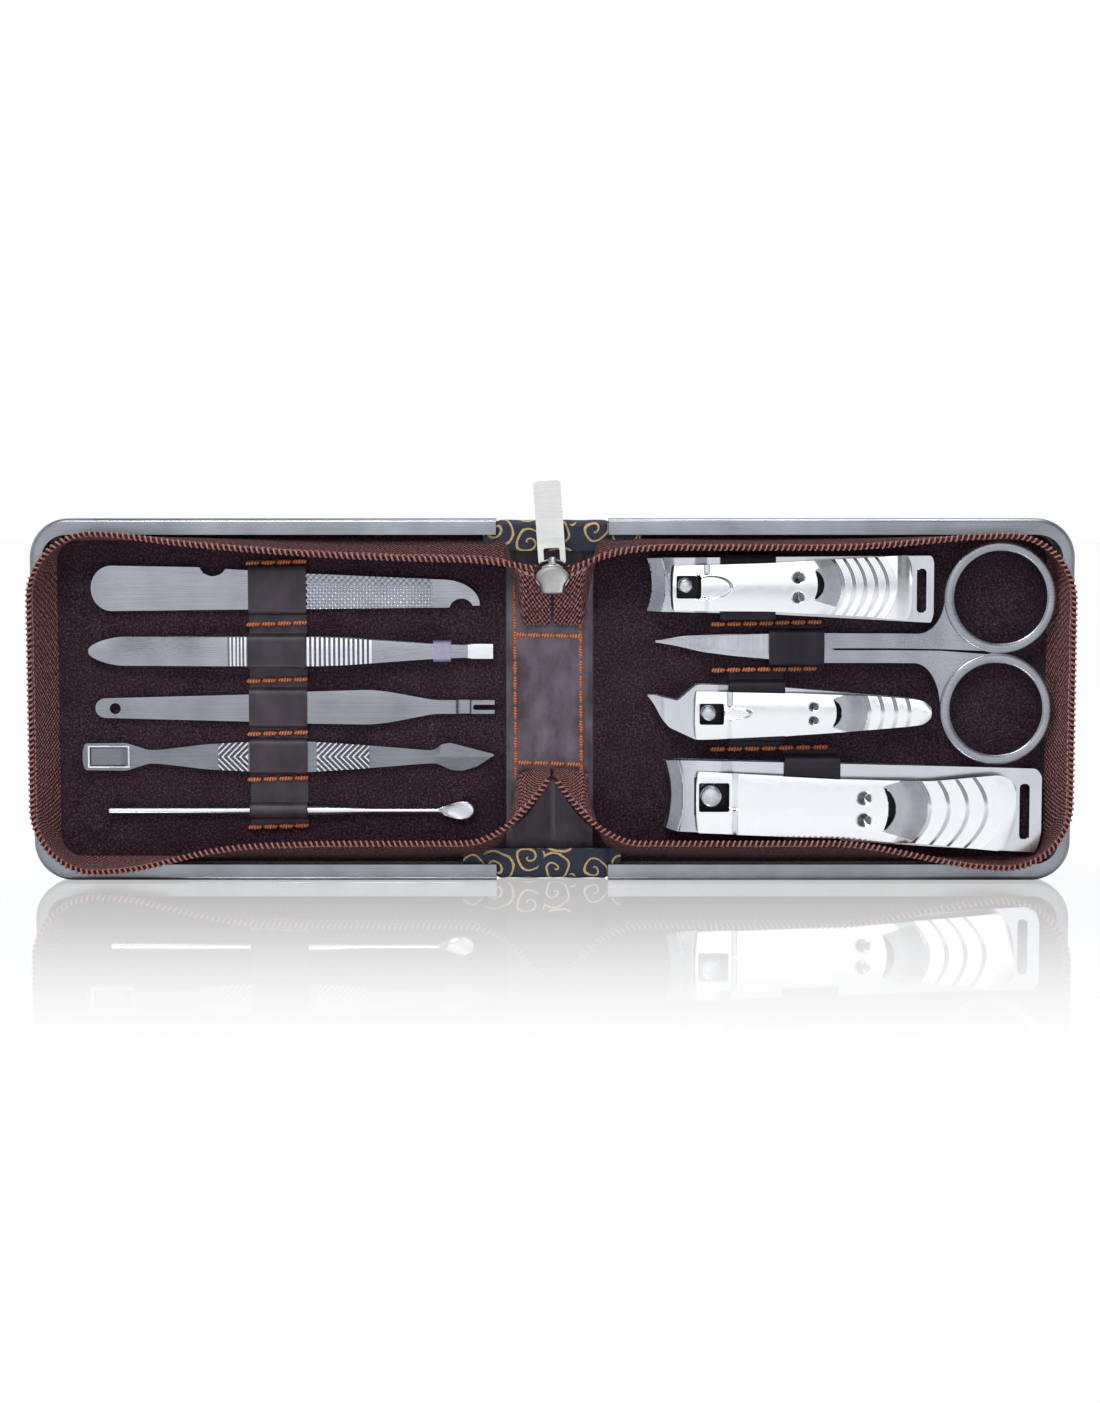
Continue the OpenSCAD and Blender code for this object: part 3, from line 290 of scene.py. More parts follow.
@dataclass
class Shape:
    """Mesh under construction: vertices and UV in millimetres, quads, and a few larger faces."""

    verts: Array
    quads: Array
    uv: Array | None = None
    faces: tuple[tuple[int, ...], ...] = ()

    @staticmethod
    def join(shapes: Sequence["Shape"]) -> "Shape":
        """One shape out of several, each kept as its own shell.

        Args:
            shapes: the shapes.

        Returns:
            The joined shape.
        """
        start = np.cumsum([0] + [len(s.verts) for s in shapes[:-1]])
        uv = None if any(s.uv is None for s in shapes) else np.concatenate([s.uv for s in shapes])
        return Shape(np.concatenate([s.verts for s in shapes]),
                     np.concatenate([s.quads + n for s, n in zip(shapes, start)]), uv,
                     tuple(tuple(int(k + n) for k in f) for s, n in zip(shapes, start) for f in s.faces))

    def outward(self) -> "Shape":
        """The same closed shape with its faces turned outwards: they are flipped where the volume is negative."""
        if signed_volume(self.verts - self.verts.mean(axis=0), self.quads) < 0.0:
            return Shape(self.verts, self.quads[:, ::-1], self.uv, tuple(f[::-1] for f in self.faces))
        return self

    def shifted(self, x: float, y: float, z: float) -> "Shape":
        """The same shape moved by a distance along each axis."""
        return Shape(self.verts + np.array([x, y, z]), self.quads, self.uv, self.faces)

    def piece(self, name: str, material: Material, slot: str, sharp: float = 35.0,
              bevel: float = 0.0, others: Sequence[tuple[Material, Field]] = ()) -> Object:
        """Puts the shape into a Blender object.

        Args:
            name: the piece's name.
            material: its finish.
            slot: the record's material slot that it stands for; not used.
            sharp: edges that turn more than this many degrees are drawn sharp.
            bevel: width in millimetres of the rounding of sharp edges, or 0.
            others: further finishes, each with the test of X and Z that picks its faces.

        Returns:
            The object, linked to the scene at the origin.
        """
        mesh = bpy.data.meshes.new(name)
        mesh.from_pydata((self.verts * MM).tolist(), [], self.quads.tolist() + [list(f) for f in self.faces])
        mesh.validate()
        if self.uv is not None:
            layer = mesh.uv_layers.new(name="UVMap")
            index = np.empty(len(mesh.loops), dtype=np.int64)
            mesh.loops.foreach_get("vertex_index", index)
            layer.data.foreach_set("uv", self.uv[index].astype(np.float32).ravel())
        mesh.shade_smooth()
        mesh.set_sharp_from_angle(angle=math.radians(sharp))
        mesh.materials.append(material)
        centre = np.empty(len(mesh.polygons) * 3)
        mesh.polygons.foreach_get("center", centre)
        x, _, z = centre.reshape(-1, 3).T / MM
        chosen = np.zeros(len(x), dtype=np.int32)
        for number, (other, test) in enumerate(others, start=1):
            mesh.materials.append(other)
            chosen[test(x, z)] = number
        mesh.polygons.foreach_set("material_index", chosen)
        obj = bpy.data.objects.new(name, mesh)
        bpy.context.scene.collection.objects.link(obj)
        if bevel > 0.0:
            rounding = obj.modifiers.new("edge", "BEVEL")
            rounding.width, rounding.segments = bevel * MM, 2
            rounding.limit_method, rounding.angle_limit = "ANGLE", math.radians(40.0)
            rounding.harden_normals = True
        return obj


def tube(sections: Array, lengthwise: Array | None = None) -> Shape:
    """Closed skin over rings of points, with a flat cap at both ends.

    Args:
        sections: array of rings, points of a ring, and X, Y, Z.
        lengthwise: distance along the skin of each ring, for its UV.

    Returns:
        The shape, with its faces outwards.
    """
    rows, columns, _ = sections.shape
    uv = None
    if lengthwise is not None:
        uv = stacked(lengthwise[:, None], travelled(sections[0])).reshape(-1, 2)
    caps = (tuple(range(columns)), tuple(range((rows - 1) * columns, rows * columns))[::-1])
    shape = Shape(sections.reshape(-1, 3), grid_faces(rows, columns, wrap_columns=True), uv, ())
    flipped = signed_volume(shape.verts - shape.verts.mean(axis=0), shape.quads) < 0.0
    quads = shape.quads[:, ::-1] if flipped else shape.quads
    ends = caps if not flipped else tuple(c[::-1] for c in caps)
    return Shape(shape.verts, quads, uv, ends)


def slab(xs: Array, low: Profile, high: Profile, columns: int, front: Field, back: Field,
         holes: Sequence[Field] = ()) -> Shape:
    """Plate that faces the viewer, with holes.

    Columns of points stand at xs and run from low(x) to high(x). Points near the edge of a hole move onto it
    along the slope of its distance, and the quads inside it go. Two such sheets at the depths front and back
    are joined by walls along every edge that only one quad has.

    Args:
        xs: places along X.
        low: height of the lower edge at each place.
        high: height of the upper edge at each place.
        columns: points between the two edges.
        front: depth Y of the front sheet at X and Z.
        back: depth Y of the back sheet at X and Z.
        holes: distances to the holes' edges at X and Z, below 0 inside.

    Returns:
        The closed shape.
    """
    t = np.linspace(0.0, 1.0, columns)
    x = np.repeat(xs[:, None], columns, axis=1)
    z = low(xs)[:, None] * (1.0 - t) + high(xs)[:, None] * t
    quads = grid_faces(len(xs), columns)
    reach = 0.62 * max(float(np.median(np.diff(xs))), 1e-3)
    keep = np.ones(len(quads), dtype=bool)
    for hole in holes:
        d, e = hole(x, z), 1e-3
        gx, gz = (hole(x + e, z) - d) / e, (hole(x, z + e) - d) / e
        near = (np.abs(d) < reach) & (np.hypot(gx, gz) > 0.5)
        x, z = np.where(near, x - d * gx, x), np.where(near, z - d * gz, z)
        keep &= hole(x, z).ravel()[quads].mean(axis=1) > -1e-4
    quads = quads[keep]
    edges = np.concatenate([quads[:, [k, (k + 1) % 4]] for k in range(4)])
    key = np.sort(edges, axis=1)
    _, first, count = np.unique(key[:, 0] * x.size + key[:, 1], return_index=True, return_counts=True)
    rim = edges[first[count == 1]]
    n = x.size
    walls = np.stack([rim[:, 1], rim[:, 0], rim[:, 0] + n, rim[:, 1] + n], axis=1)
    verts = np.concatenate([stacked(x, f(x, z), z).reshape(-1, 3) for f in (front, back)])
    faces = np.concatenate([quads, quads[:, ::-1] + n, walls])
    used = np.unique(faces)
    number = np.full(len(verts), -1)
    number[used] = np.arange(len(used))
    uv = np.tile(stacked(x, z).reshape(-1, 2), (2, 1))
    return Shape(verts[used], number[faces], uv[used]).outward()


def circle_hole(x0: float, z0: float, r: float, squash: float = 1.0) -> Field:
    """Distance to a circle, or to an ellipse whose height is squash times its length."""
    return lambda x, z: np.hypot(x - x0, (z - z0) / squash) - r


def box_hole(x0: float, x1: float, z0: float, z1: float, r: float) -> Field:
    """Distance to a rectangle with round corners.

    Args:
        x0: its left side.
        x1: its right side.
        z0: its lower side.
        z1: its upper side.
        r: its corner radius.

    Returns:
        The distance at X and Z, below 0 inside.
    """
    def distance(x: Array, z: Array) -> Array:
        """Usual distance to a box less its corner radius."""
        dx = np.abs(x - (x0 + x1) / 2) - (x1 - x0) / 2 + r
        dz = np.abs(z - (z0 + z1) / 2) - (z1 - z0) / 2 + r
        return np.hypot(np.maximum(dx, 0), np.maximum(dz, 0)) + np.minimum(np.maximum(dx, dz), 0) - r
    return distance


def crescent_hole(x1: float, z0: float, h: float, sag: float, thick: float) -> Field:
    """Distance to a crescent: inside one arc and outside a flatter arc through the same two tips.

    Args:
        x1: X of its right side.
        z0: height of its middle.
        h: half of its height.
        sag: how far the outer arc stands out.
        thick: width at its middle.

    Returns:
        The distance at X and Z; a radius is the half height squared plus the sag squared, over twice the sag.
    """
    inner = sag - thick
    r, q = (h * h + sag * sag) / (2 * sag), (h * h + inner * inner) / (2 * inner)
    return lambda x, z: np.maximum(np.hypot(x - x1 + r, z - z0) - r, q - np.hypot(x - x1 + thick + q, z - z0))


def rounded_run(x0: float, x1: float, z0: float, z1: float, r: float, counts: tuple[int, int, int]) -> Array:
    """Path along the top to the right, down a side with two round corners, and back along the bottom.

    Args:
        x0: place where the path starts and ends.
        x1: its furthest X.
        z0: its lowest Z.
        z1: its highest Z.
        r: corner radius.
        counts: points on the long runs, on a corner and on the short side.

    Returns:
        Points as an array of X and Z.
    """
    long, corner, side = counts
    arc = np.radians(np.linspace(90.0, 0.0, corner, endpoint=False))
    turn = np.radians(np.linspace(0.0, -90.0, corner, endpoint=False))
    return np.concatenate([
        stacked(np.linspace(x0, x1 - r, long, endpoint=False), z1),
        stacked(x1 - r + r * np.cos(arc), z1 - r + r * np.sin(arc)),
        stacked(x1, np.linspace(z1 - r, z0 + r, side, endpoint=False)),
        stacked(x1 - r + r * np.cos(turn), z0 + r + r * np.sin(turn)),
        stacked(np.linspace(x1 - r, x0, long), z0)])


def travelled(path: Array) -> Array:
    """Distance along a path at each of its points."""
    return np.concatenate([[0.0], np.cumsum(np.linalg.norm(np.diff(path, axis=0), axis=1))])


def rings(line: Array, one: Array, two: Array, wide: Array, deep: Array) -> Array:
    """Rings of points round a line: line + wide one + deep two.

    Args:
        line: its points.
        one: vector across the line at each of its points.
        two: another vector across the line.
        wide: how far each point of a ring lies along the first.
        deep: how far it lies along the second.

    Returns:
        One ring for each point of the line.
    """
    return line[:, None] + wide[:, None] * one[:, None] + deep[:, None] * two[:, None]


def capsule(centre: Array, along: Array, across: Array, length: float, width: float, height: float,
            rows: int = 9, columns: int = 10, twist: float = 0.0) -> Shape:
    """Stitch: a bar with round ends whose section turns as a twisted thread's does.

    Args:
        centre: its middle.
        along: unit vector of its length.
        across: unit vector of its width.
        length: its whole length.
        width: its width.
        height: its height above the cloth.
        rows: rings along it.
        columns: points of a ring.
        twist: depth of the thread's strands as a part of its width.

    Returns:
        The closed shape.
    """
    up = np.cross(along, across)
    t = np.linspace(-1.0, 1.0, rows)
    size = np.sqrt(np.clip(1.0 - np.abs(t) ** 3.0, 0.02, 1.0))
    a = circle(columns)
    strand = 1.0 + twist * np.cos(2.0 * (a[None, :] - 5.0 * t[:, None]))
    radius = size[:, None] * strand
    points = (centre + t[:, None, None] * along * length / 2
              + (radius * np.cos(a))[..., None] * across * width / 2
              + (radius * np.sin(a))[..., None] * up * height / 2)
    return tube(points, t * length / 2)


def stitch_row(start: Array, stop: Array, across: Array, count: int, thread: float = 0.62) -> Shape:
    """Row of stitches between two points, with small gaps where the thread dives into the sheet.

    Args:
        start: where it begins.
        stop: where it ends.
        across: unit vector of the stitches' width.
        count: number of stitches.
        thread: the thread's width.

    Returns:
        All its stitches as one shape.
    """
    step = (stop - start) / count
    long = float(np.linalg.norm(step))
    along = step / long
    return Shape.join([capsule(start + step * (k + 0.5), along, across, 0.95 * long, thread, thread * 0.8,
                               rows=15, columns=8, twist=0.16) for k in range(count)])


# ---------------------------------------------------------------- finishes


def linear(code: str, factor: float = 1.0) -> tuple[float, float, float, float]:
    """Linear colour of an sRGB hex code.

    Args:
        code: a hash and six hex digits.
        factor: how much lighter or darker it gets; 1 is the ceiling.

    Returns:
        Red, green, blue and an alpha of 1.
    """
    parts = [int(code[k:k + 2], 16) / 255.0 for k in (1, 3, 5)]
    r, g, b = [min(factor * (c / 12.92 if c <= 0.04045 else ((c + 0.055) / 1.055) ** 2.4), 1.0) for c in parts]
    return r, g, b, 1.0


def per_mm(*sizes: float) -> tuple[float, ...]:
    """Scale along X, Y and Z of a pattern whose grain has these sizes in millimetres."""
    return tuple(1.0 / (size * MM) for size in sizes)


def fill(tree: Tree, node: Node, values: Values) -> None:
    """Sets a node's sockets to constants, or links them.

    Args:
        tree: the node tree.
        node: the node.
        values: what goes into each socket, in order, or by the socket's name or number: a constant, another
            node's output, or a node, which stands for its first output.
    """
    for key, value in values.items() if isinstance(values, dict) else enumerate(values):
        if isinstance(value, (Node, bpy.types.NodeSocket)):
            tree.links.new(value.outputs[0] if isinstance(value, Node) else value, node.inputs[key])
        else:
            node.inputs[key].default_value = value


def add_node(tree: Tree, kind: str, values: Values = (), stops: Sequence[tuple[float, str]] = (),
             **settings: object) -> Node:
    """Adds a node with its settings and links.

    Args:
        tree: the node tree.
        kind: the node's Blender type, less the word ShaderNode at its front.
        values: what goes into its sockets, as for fill.
        stops: places and hex codes along its colours, where it has such a scale.
        **settings: its properties.

    Returns:
        The node.
    """
    node = tree.nodes.new("ShaderNode" + kind)
    for key, value in settings.items():
        setattr(node, key, value)
    if stops:
        marks = node.color_ramp.elements
        while len(marks) < len(stops):
            marks.new(0.5)
        for mark, (place, code) in zip(marks, stops):
            mark.position, mark.color = place, linear(code)
    fill(tree, node, values)
    return node


@dataclass(frozen=True)
class Finish:
    """Surface of a piece: a name for the real material and the way it was made."""

    name: str

    def material(self) -> Material:
        """The Blender material, made once for each finish."""
        return finished(self)

    def dress(self, tree: Tree, shader: Node) -> None:
        """Adds the nodes of this finish; each kind of finish has its own."""
        raise NotImplementedError(f"{self.name} has no nodes for {shader} in {tree}")


@lru_cache(maxsize=None)
def finished(finish: Finish) -> Material:
    """Makes a finish's material with its shader, and lets the finish dress it.

    Args:
        finish: the finish.

    Returns:
        Its material, the same one each time.
    """
    material = bpy.data.materials.new(finish.name)
    material.use_nodes = True
    tree = material.node_tree
    finish.dress(tree, tree.nodes["Principled BSDF"])
    return material


@dataclass(frozen=True)
class Steel(Finish):
    """Stainless steel: bright where it is polished, with fine lines where a belt has ground it."""

    code: str = "#c9cacc"
    roughness: float = 0.3
    spread: float = 0.08
    grain: Grain = Grain.ALONG
    depth: float = 0.004
    mottle: float = 0.06

    def dress(self, tree: Tree, shader: Node) -> None:
        """Grinding lines vary roughness and height, and clouds 9 mm wide vary the tone a little.

        Real lines are 0.02 to 0.05 mm apart; they are drawn 0.16 mm apart so that they show.

        Args:
            tree: the material's nodes.
            shader: its shader.
        """
        add = partial(add_node, tree)
        place = add("TexCoord").outputs["Object"]
        size = add("Mapping", {"Vector": place, "Scale": per_mm(*self.grain.value)})
        lines = add("TexNoise", {"Vector": size, "Scale": 1.0, "Detail": 4.0, "Roughness": 0.6})
        size = add("Mapping", {"Vector": place, "Scale": per_mm(9.0, 9.0, 9.0)})
        clouds = add("TexNoise", {"Vector": size, "Scale": 1.0, "Roughness": 0.55})
        low, high = self.roughness - self.spread, self.roughness + self.spread
        rough = add("MapRange", (lines, 0.3, 0.7, low, high))
        halves = [add("Math", (part, 0.5), operation="MULTIPLY") for part in (lines, clouds)]
        tone = add("Math", halves, operation="ADD")
        tone = add("MapRange", (tone, 0.35, 0.65))
        colours = linear(self.code, 1.0 - self.mottle), linear(self.code, 1.0 + self.mottle)
        colour = add("Mix", {0: tone, 6: colours[0], 7: colours[1]}, data_type="RGBA").outputs[2]
        normal = add("Bump", {"Height": lines, "Distance": self.depth * MM})
        fill(tree, shader, {"Base Color": colour, "Metallic": 1.0, "Roughness": rough, "Normal": normal})


@dataclass(frozen=True)
class Velour(Finish):
    """Short knitted pile: dark between the hairs, paler where they catch the light."""

    dark: str = "#140b12"
    middle: str = "#291925"
    light: str = "#705764"

    def dress(self, tree: Tree, shader: Node) -> None:
        """Tufts with broad brushed patches 5 to 7 mm wide.

        Real hairs are 0.05 mm thick; the tufts are drawn 0.5 mm wide so that they show.

        Args:
            tree: the material's nodes.
            shader: its shader.
        """
        add = partial(add_node, tree)
        place = add("TexCoord").outputs["Object"]
        size = add("Mapping", {"Vector": place, "Scale": per_mm(0.5, 0.5, 0.5)})
        tufts = add("TexNoise", {"Vector": size, "Scale": 1.0, "Detail": 6.0, "Roughness": 0.95})
        size = add("Mapping", {"Vector": place, "Scale": per_mm(7.0, 7.0, 5.0)})
        patches = add("TexNoise", {"Vector": size, "Scale": 1.0, "Roughness": 0.55})
        shares = [add("Math", pair, operation="MULTIPLY") for pair in ((tufts, 0.93), (patches, 0.07))]
        mixed = add("Math", shares, operation="ADD")
        stops = (0.38, self.dark), (0.5, self.middle), (0.66, self.light)
        colour = add("ValToRGB", (mixed,), stops)
        normal = add("Bump", {"Height": tufts, "Distance": 0.12 * MM, "Strength": 0.8})
        fill(tree, shader, {"Base Color": colour, "Roughness": 0.92, "Sheen Weight": 0.25, "Sheen Roughness": 0.45,
                            "Sheen Tint": linear("#8a7480"), "Specular IOR Level": 0.2, "Normal": normal})


@dataclass(frozen=True)
class CoatedSheet(Finish):
    """Imitation leather: cloth with a smooth embossed coating and a soft sheen."""

    code: str = "#42343c"
    pale: str = "#574a53"
    roughness: float = 0.42
    shine: float = 0.5

    def dress(self, tree: Tree, shader: Node) -> None:
        """Embossed pebbles 0.5 mm wide, and slow changes of tone in broad clouds; on the pale middle panel these are
        painted sheen.

        Args:
            tree: the material's nodes.
            shader: its shader.
        """
        add = partial(add_node, tree)
        place = add("TexCoord").outputs["Object"]
        size = add("Mapping", {"Vector": place, "Scale": per_mm(0.5, 0.5, 0.5)})
        pebble = add("TexNoise", {"Vector": size, "Scale": 1.0, "Detail": 3.0, "Roughness": 0.55})
        size = add("Mapping", {"Vector": place, "Scale": per_mm(5.0, 5.0, 9.0)})
        tone_and_sheen_clouds = add("TexNoise", {"Vector": size, "Scale": 1.0, "Detail": 3.0, "Roughness": 0.55})
        # Clouds between the sheet's colour and a paler one; on the middle panel the paler one is painted sheen.
        colour = add("ValToRGB", (tone_and_sheen_clouds,), ((0.35, self.code), (0.7, self.pale)))
        rough = add("MapRange", (pebble, 0.0, 1.0, self.roughness - 0.08, self.roughness + 0.12))
        normal = add("Bump", {"Height": pebble, "Distance": 0.03 * MM})
        fill(tree, shader, {"Base Color": colour, "Roughness": rough, "Specular IOR Level": self.shine,
                            "Normal": normal})


@dataclass(frozen=True)
class WovenTape(Finish):
    """Polyester zip tape: fine diagonal ribs with painted shade in the gaps, and paler flecks of thread."""

    dark: str = "#2b1416"
    middle: str = "#572a2e"
    light: str = "#c0948c"

    def dress(self, tree: Tree, shader: Node) -> None:
        """Twill ribs 0.6 mm apart run slantwise over the UV, which is in millimetres, with flecks over them.

        A row of pale lock stitches, 1.25 mm each, lies a millimetre from the coil on both faces. The height over
        the tape is the UV's V: 0 to 10 on the outer face, which is darkened by painted shade, and 10.6 to 20.6 on the
        inner one.

        Args:
            tree: the material's nodes.
            shader: its shader.
        """
        add = partial(add_node, tree)
        place = add("UVMap")
        turned = add("Mapping", {"Vector": place, "Rotation": (0.0, 0.0, 0.7)})
        waves = []
        for source, number, pitch in ((turned, 0, 0.6), (turned, 1, 0.8), (place, 0, 1.25)):
            part = add("SeparateXYZ", (source,)).outputs[number]
            phase = add("Math", (part, 2.0 * math.pi / pitch), operation="MULTIPLY")
            waves.append(add("Math", (phase,), operation="SINE"))
        rib = add("Math", (waves[0], 0.1), operation="MULTIPLY")
        cross = add("Math", (waves[1], 0.06), operation="MULTIPLY")
        fleck = add("TexNoise", {"Vector": place, "Scale": 1.9, "Detail": 4.0, "Roughness": 0.8})
        height = add("Math", (cross, fleck), operation="ADD")
        height = add("Math", (rib, height), operation="ADD")
        # Painted shade: the colour darkens where the height is low, in the ribs' gaps; the pale end is flecks of
        # thread.
        stops = (0.36, self.dark), (0.5, self.middle), (0.72, self.light)
        cloth = add("ValToRGB", (height,), stops)
        up = add("SeparateXYZ", (place,)).outputs[1]
        across = add("Math", (up, 10.6), operation="DIVIDE")
        across = add("Math", (across,), operation="FRACT")
        row = add("Math", (across, 0.85, 0.024), operation="COMPARE")
        beat = add("Math", (waves[2], -0.2), operation="GREATER_THAN")
        lock = add("Math", (row, beat), operation="MULTIPLY")
        colour = add("Mix", {0: lock, 6: cloth, 7: linear(self.light)}, data_type="RGBA").outputs[2]
        # Painted shade: the outer face is darkened by a grey multiply.
        outer = add("Math", (up, 10.3), operation="LESS_THAN")
        colour = add("Mix", {0: outer, 6: colour, 7: linear("#bcb5b6")}, data_type="RGBA",
                     blend_type="MULTIPLY").outputs[2]
        normal = add("Bump", {"Height": height, "Distance": 0.12 * MM})
        fill(tree, shader, {"Base Color": colour, "Roughness": 0.85, "Sheen Weight": 0.04,
                            "Specular IOR Level": 0.15, "Normal": normal})


@dataclass(frozen=True)
class Plastic(Finish):
    """Moulded or drawn plastic: even colour under a gloss."""

    code: str = "#a8746a"
    roughness: float = 0.3
    alpha: float = 1.0
    depth: float = 0.003

    def dress(self, tree: Tree, shader: Node) -> None:
        """Slight clouding of the colour, 1.1 mm wide; a clear sleeve is mostly see-through.

        Args:
            tree: the material's nodes.
            shader: its shader.
        """
        add = partial(add_node, tree)
        place = add("TexCoord").outputs["Object"]
        size = add("Mapping", {"Vector": place, "Scale": per_mm(1.1, 1.1, 1.1)})
        cloud = add("TexNoise", {"Vector": size, "Scale": 1.0, "Roughness": 0.55})
        colour = add("Mix", {0: cloud, 6: linear(self.code, 0.85), 7: linear(self.code, 1.12)},
                     data_type="RGBA").outputs[2]
        normal = add("Bump", {"Height": cloud, "Distance": self.depth * MM})
        fill(tree, shader, {"Base Color": colour, "Roughness": self.roughness, "Alpha": self.alpha, "IOR": 1.46,
                            "Normal": normal})


@dataclass(frozen=True)
class Thread(Finish):
    """Waxed sewing thread: two strands that wind round each other."""

    dark: str = "#7c3011"
    middle: str = "#bd5c24"
    light: str = "#e59459"

    def dress(self, tree: Tree, shader: Node) -> None:
        """Strands 0.6 mm apart run slantwise over the UV, which is in millimetres, with hairs over them.

        Args:
            tree: the material's nodes.
            shader: its shader.
        """
        add = partial(add_node, tree)
        place = add("UVMap")
        parts = add("SeparateXYZ", (place,)).outputs
        strand = parts[1]
        for value, step in ((1.4, "MULTIPLY"), (parts[0], "ADD"), (2.0 * math.pi / 0.6, "MULTIPLY"), (0.5, "SINE"),
                            (0.25, "MULTIPLY")):
            strand = add("Math", (strand, value), operation=step)
        hair = add("TexNoise", {"Vector": place, "Scale": 6.0})
        height = add("Math", (strand, hair), operation="ADD")
        # Painted shade in the gaps and painted highlight on the strands: the colour follows the strands' height.
        stops = (0.25, self.dark), (0.5, self.middle), (0.8, self.light)
        colour = add("ValToRGB", (height,), stops)
        normal = add("Bump", {"Height": height, "Distance": 0.06 * MM})
        fill(tree, shader, {"Base Color": colour, "Roughness": 0.55, "Sheen Weight": 0.2, "Normal": normal})


@dataclass(frozen=True)
class Brocade(Finish):
    """Woven figured cloth: navy ground with raised scrolls of gold thread."""

    ground: str = "#141a2b"
    weft: str = "#26304a"
    shadow: str = "#a47a40"
    gold: str = "#d8b078"
    glint: str = "#f0d6a4"
    cell: float = 6.6
    coil: float = 2.3

    def dress(self, tree: Tree, shader: Node) -> None:
        """One curl to a cell about 6.6 mm wide, on the UV, which is in millimetres, over a fine weave.

        A curl is the line where the distance from the cell's middle over 2.3 mm plus the turn round it is a whole
        number and a half. Each cell has its own hand and start, and the cells are bent by slow noise.

        Args:
            tree: the material's nodes.
            shader: its shader.
        """
        add = partial(add_node, tree)
        place = add("UVMap")
        push = add("TexNoise", {"Vector": place, "Scale": 0.16, "Detail": 1.0}).outputs["Color"]
        push = add("VectorMath", (push, (0.5, 0.5, 0.5)), operation="SUBTRACT")
        push = add("VectorMath", (push, (3.0, 3.0, 0.0)), operation="MULTIPLY")
        spot = add("VectorMath", (place, push), operation="ADD")
        cells = add("TexVoronoi", {"Vector": spot, "Scale": 1.0 / self.cell, "Randomness": 0.55},
                    voronoi_dimensions="2D").outputs
        offset = add("VectorMath", (spot, cells["Position"]), operation="SUBTRACT")
        parts = add("SeparateXYZ", (offset,)).outputs
        length = add("VectorMath", (offset,), operation="LENGTH").outputs["Value"]
        turn = add("Math", (parts[1], parts[0]), operation="ARCTAN2")
        turn = add("Math", (turn, 2.0 * math.pi), operation="DIVIDE")
        own = add("SeparateColor", (cells["Color"],)).outputs
        hand = add("Math", (own[0], 0.5), operation="SUBTRACT")
        hand = add("Math", (hand,), operation="SIGN")
        turn = add("Math", (turn, hand), operation="MULTIPLY")
        line = length
        for value, step in ((self.coil, "DIVIDE"), (turn, "ADD"), (own[1], "ADD"), (0.5, "FRACT"), (0.5, "SUBTRACT"),
                            (0.5, "ABSOLUTE"), (0.1, "LESS_THAN")):
            line = add("Math", (line, value), operation=step)
        inside = add("Math", (length, 0.62 * self.cell), operation="LESS_THAN")
        scroll = add("Math", (line, inside), operation="MULTIPLY")
        weave = add("TexNoise", {"Vector": place, "Scale": 2.6, "Detail": 3.0, "Roughness": 0.7})
        cloth = add("ValToRGB", (weave,), ((0.4, self.ground), (0.65, self.weft)))
        stops = (0.3, self.shadow), (0.55, self.gold), (0.75, self.glint)
        threads = add("ValToRGB", (weave,), stops)
        colour = add("Mix", {0: scroll, 6: cloth, 7: threads}, data_type="RGBA").outputs[2]
        shares = [add("Math", pair, operation="MULTIPLY") for pair in ((scroll, 0.6), (weave, 0.5))]
        height = add("Math", shares, operation="ADD")
        normal = add("Bump", {"Height": height, "Distance": 0.12 * MM})
        fill(tree, shader, {"Base Color": colour, "Roughness": 0.62, "Sheen Weight": 0.1, "Normal": normal})


@dataclass(frozen=True)
class GreyBoard(Finish):
    """Grey board of pressed paper pulp, with fibres and flecks."""

    dark: str = "#7a736a"
    middle: str = "#8e877d"
    light: str = "#a49d92"

    def dress(self, tree: Tree, shader: Node) -> None:
        """Fibres 1.4 mm long in several greys.

        Args:
            tree: the material's nodes.
            shader: its shader.
        """
        add = partial(add_node, tree)
        place = add("TexCoord").outputs["Object"]
        size = add("Mapping", {"Vector": place, "Scale": per_mm(1.4, 0.3, 0.3)})
        fibre = add("TexNoise", {"Vector": size, "Scale": 1.0, "Detail": 4.0, "Roughness": 0.7})
        stops = (0.35, self.dark), (0.5, self.middle), (0.7, self.light)
        colour = add("ValToRGB", (fibre,), stops)
        normal = add("Bump", {"Height": fibre, "Distance": 0.05 * MM})
        fill(tree, shader, {"Base Color": colour, "Roughness": 0.9, "Normal": normal})


# Rolled sheet brushed lengthwise: cool mid grey with long streaks that soften every reflection.
COVER_STEEL = Steel("brushed_steel_sheet", "#9c9fa6", 0.34, 0.1, Grain.ALONG, 0.008, 0.2)
# Belt-ground strip: silky, with lines that run the tool's length and stretch the highlights across them.
SATIN_STEEL = Steel("belt_ground_stainless_steel", "#a4a6ae", 0.25, 0.09, Grain.ALONG, 0.006, 0.18)
# The same with a finer belt: a shade darker and more even.
TRIM_STEEL = Steel("fine_ground_stainless_steel", "#989aa1", 0.25, 0.09, Grain.ALONG, 0.006, 0.16)
# Tumbled after grinding: lines half worn away, dull grey.
WORN_STEEL = Steel("tumbled_stainless_steel", "#85878e", 0.3, 0.08, Grain.ALONG, 0.006, 0.18)
# Satin-ground forging: soft, slightly wider highlights on scissors and jaws.
CROSS_STEEL = Steel("satin_ground_stainless_steel", "#a2a4ac", 0.28, 0.1, Grain.ALONG, 0.005, 0.18)
# Hollow-ground across the blade: paler, with lines from back to edge.
BLADE_STEEL = Steel("hollow_ground_stainless_steel", "#bec0c8", 0.28, 0.1, Grain.ACROSS, 0.005, 0.18)
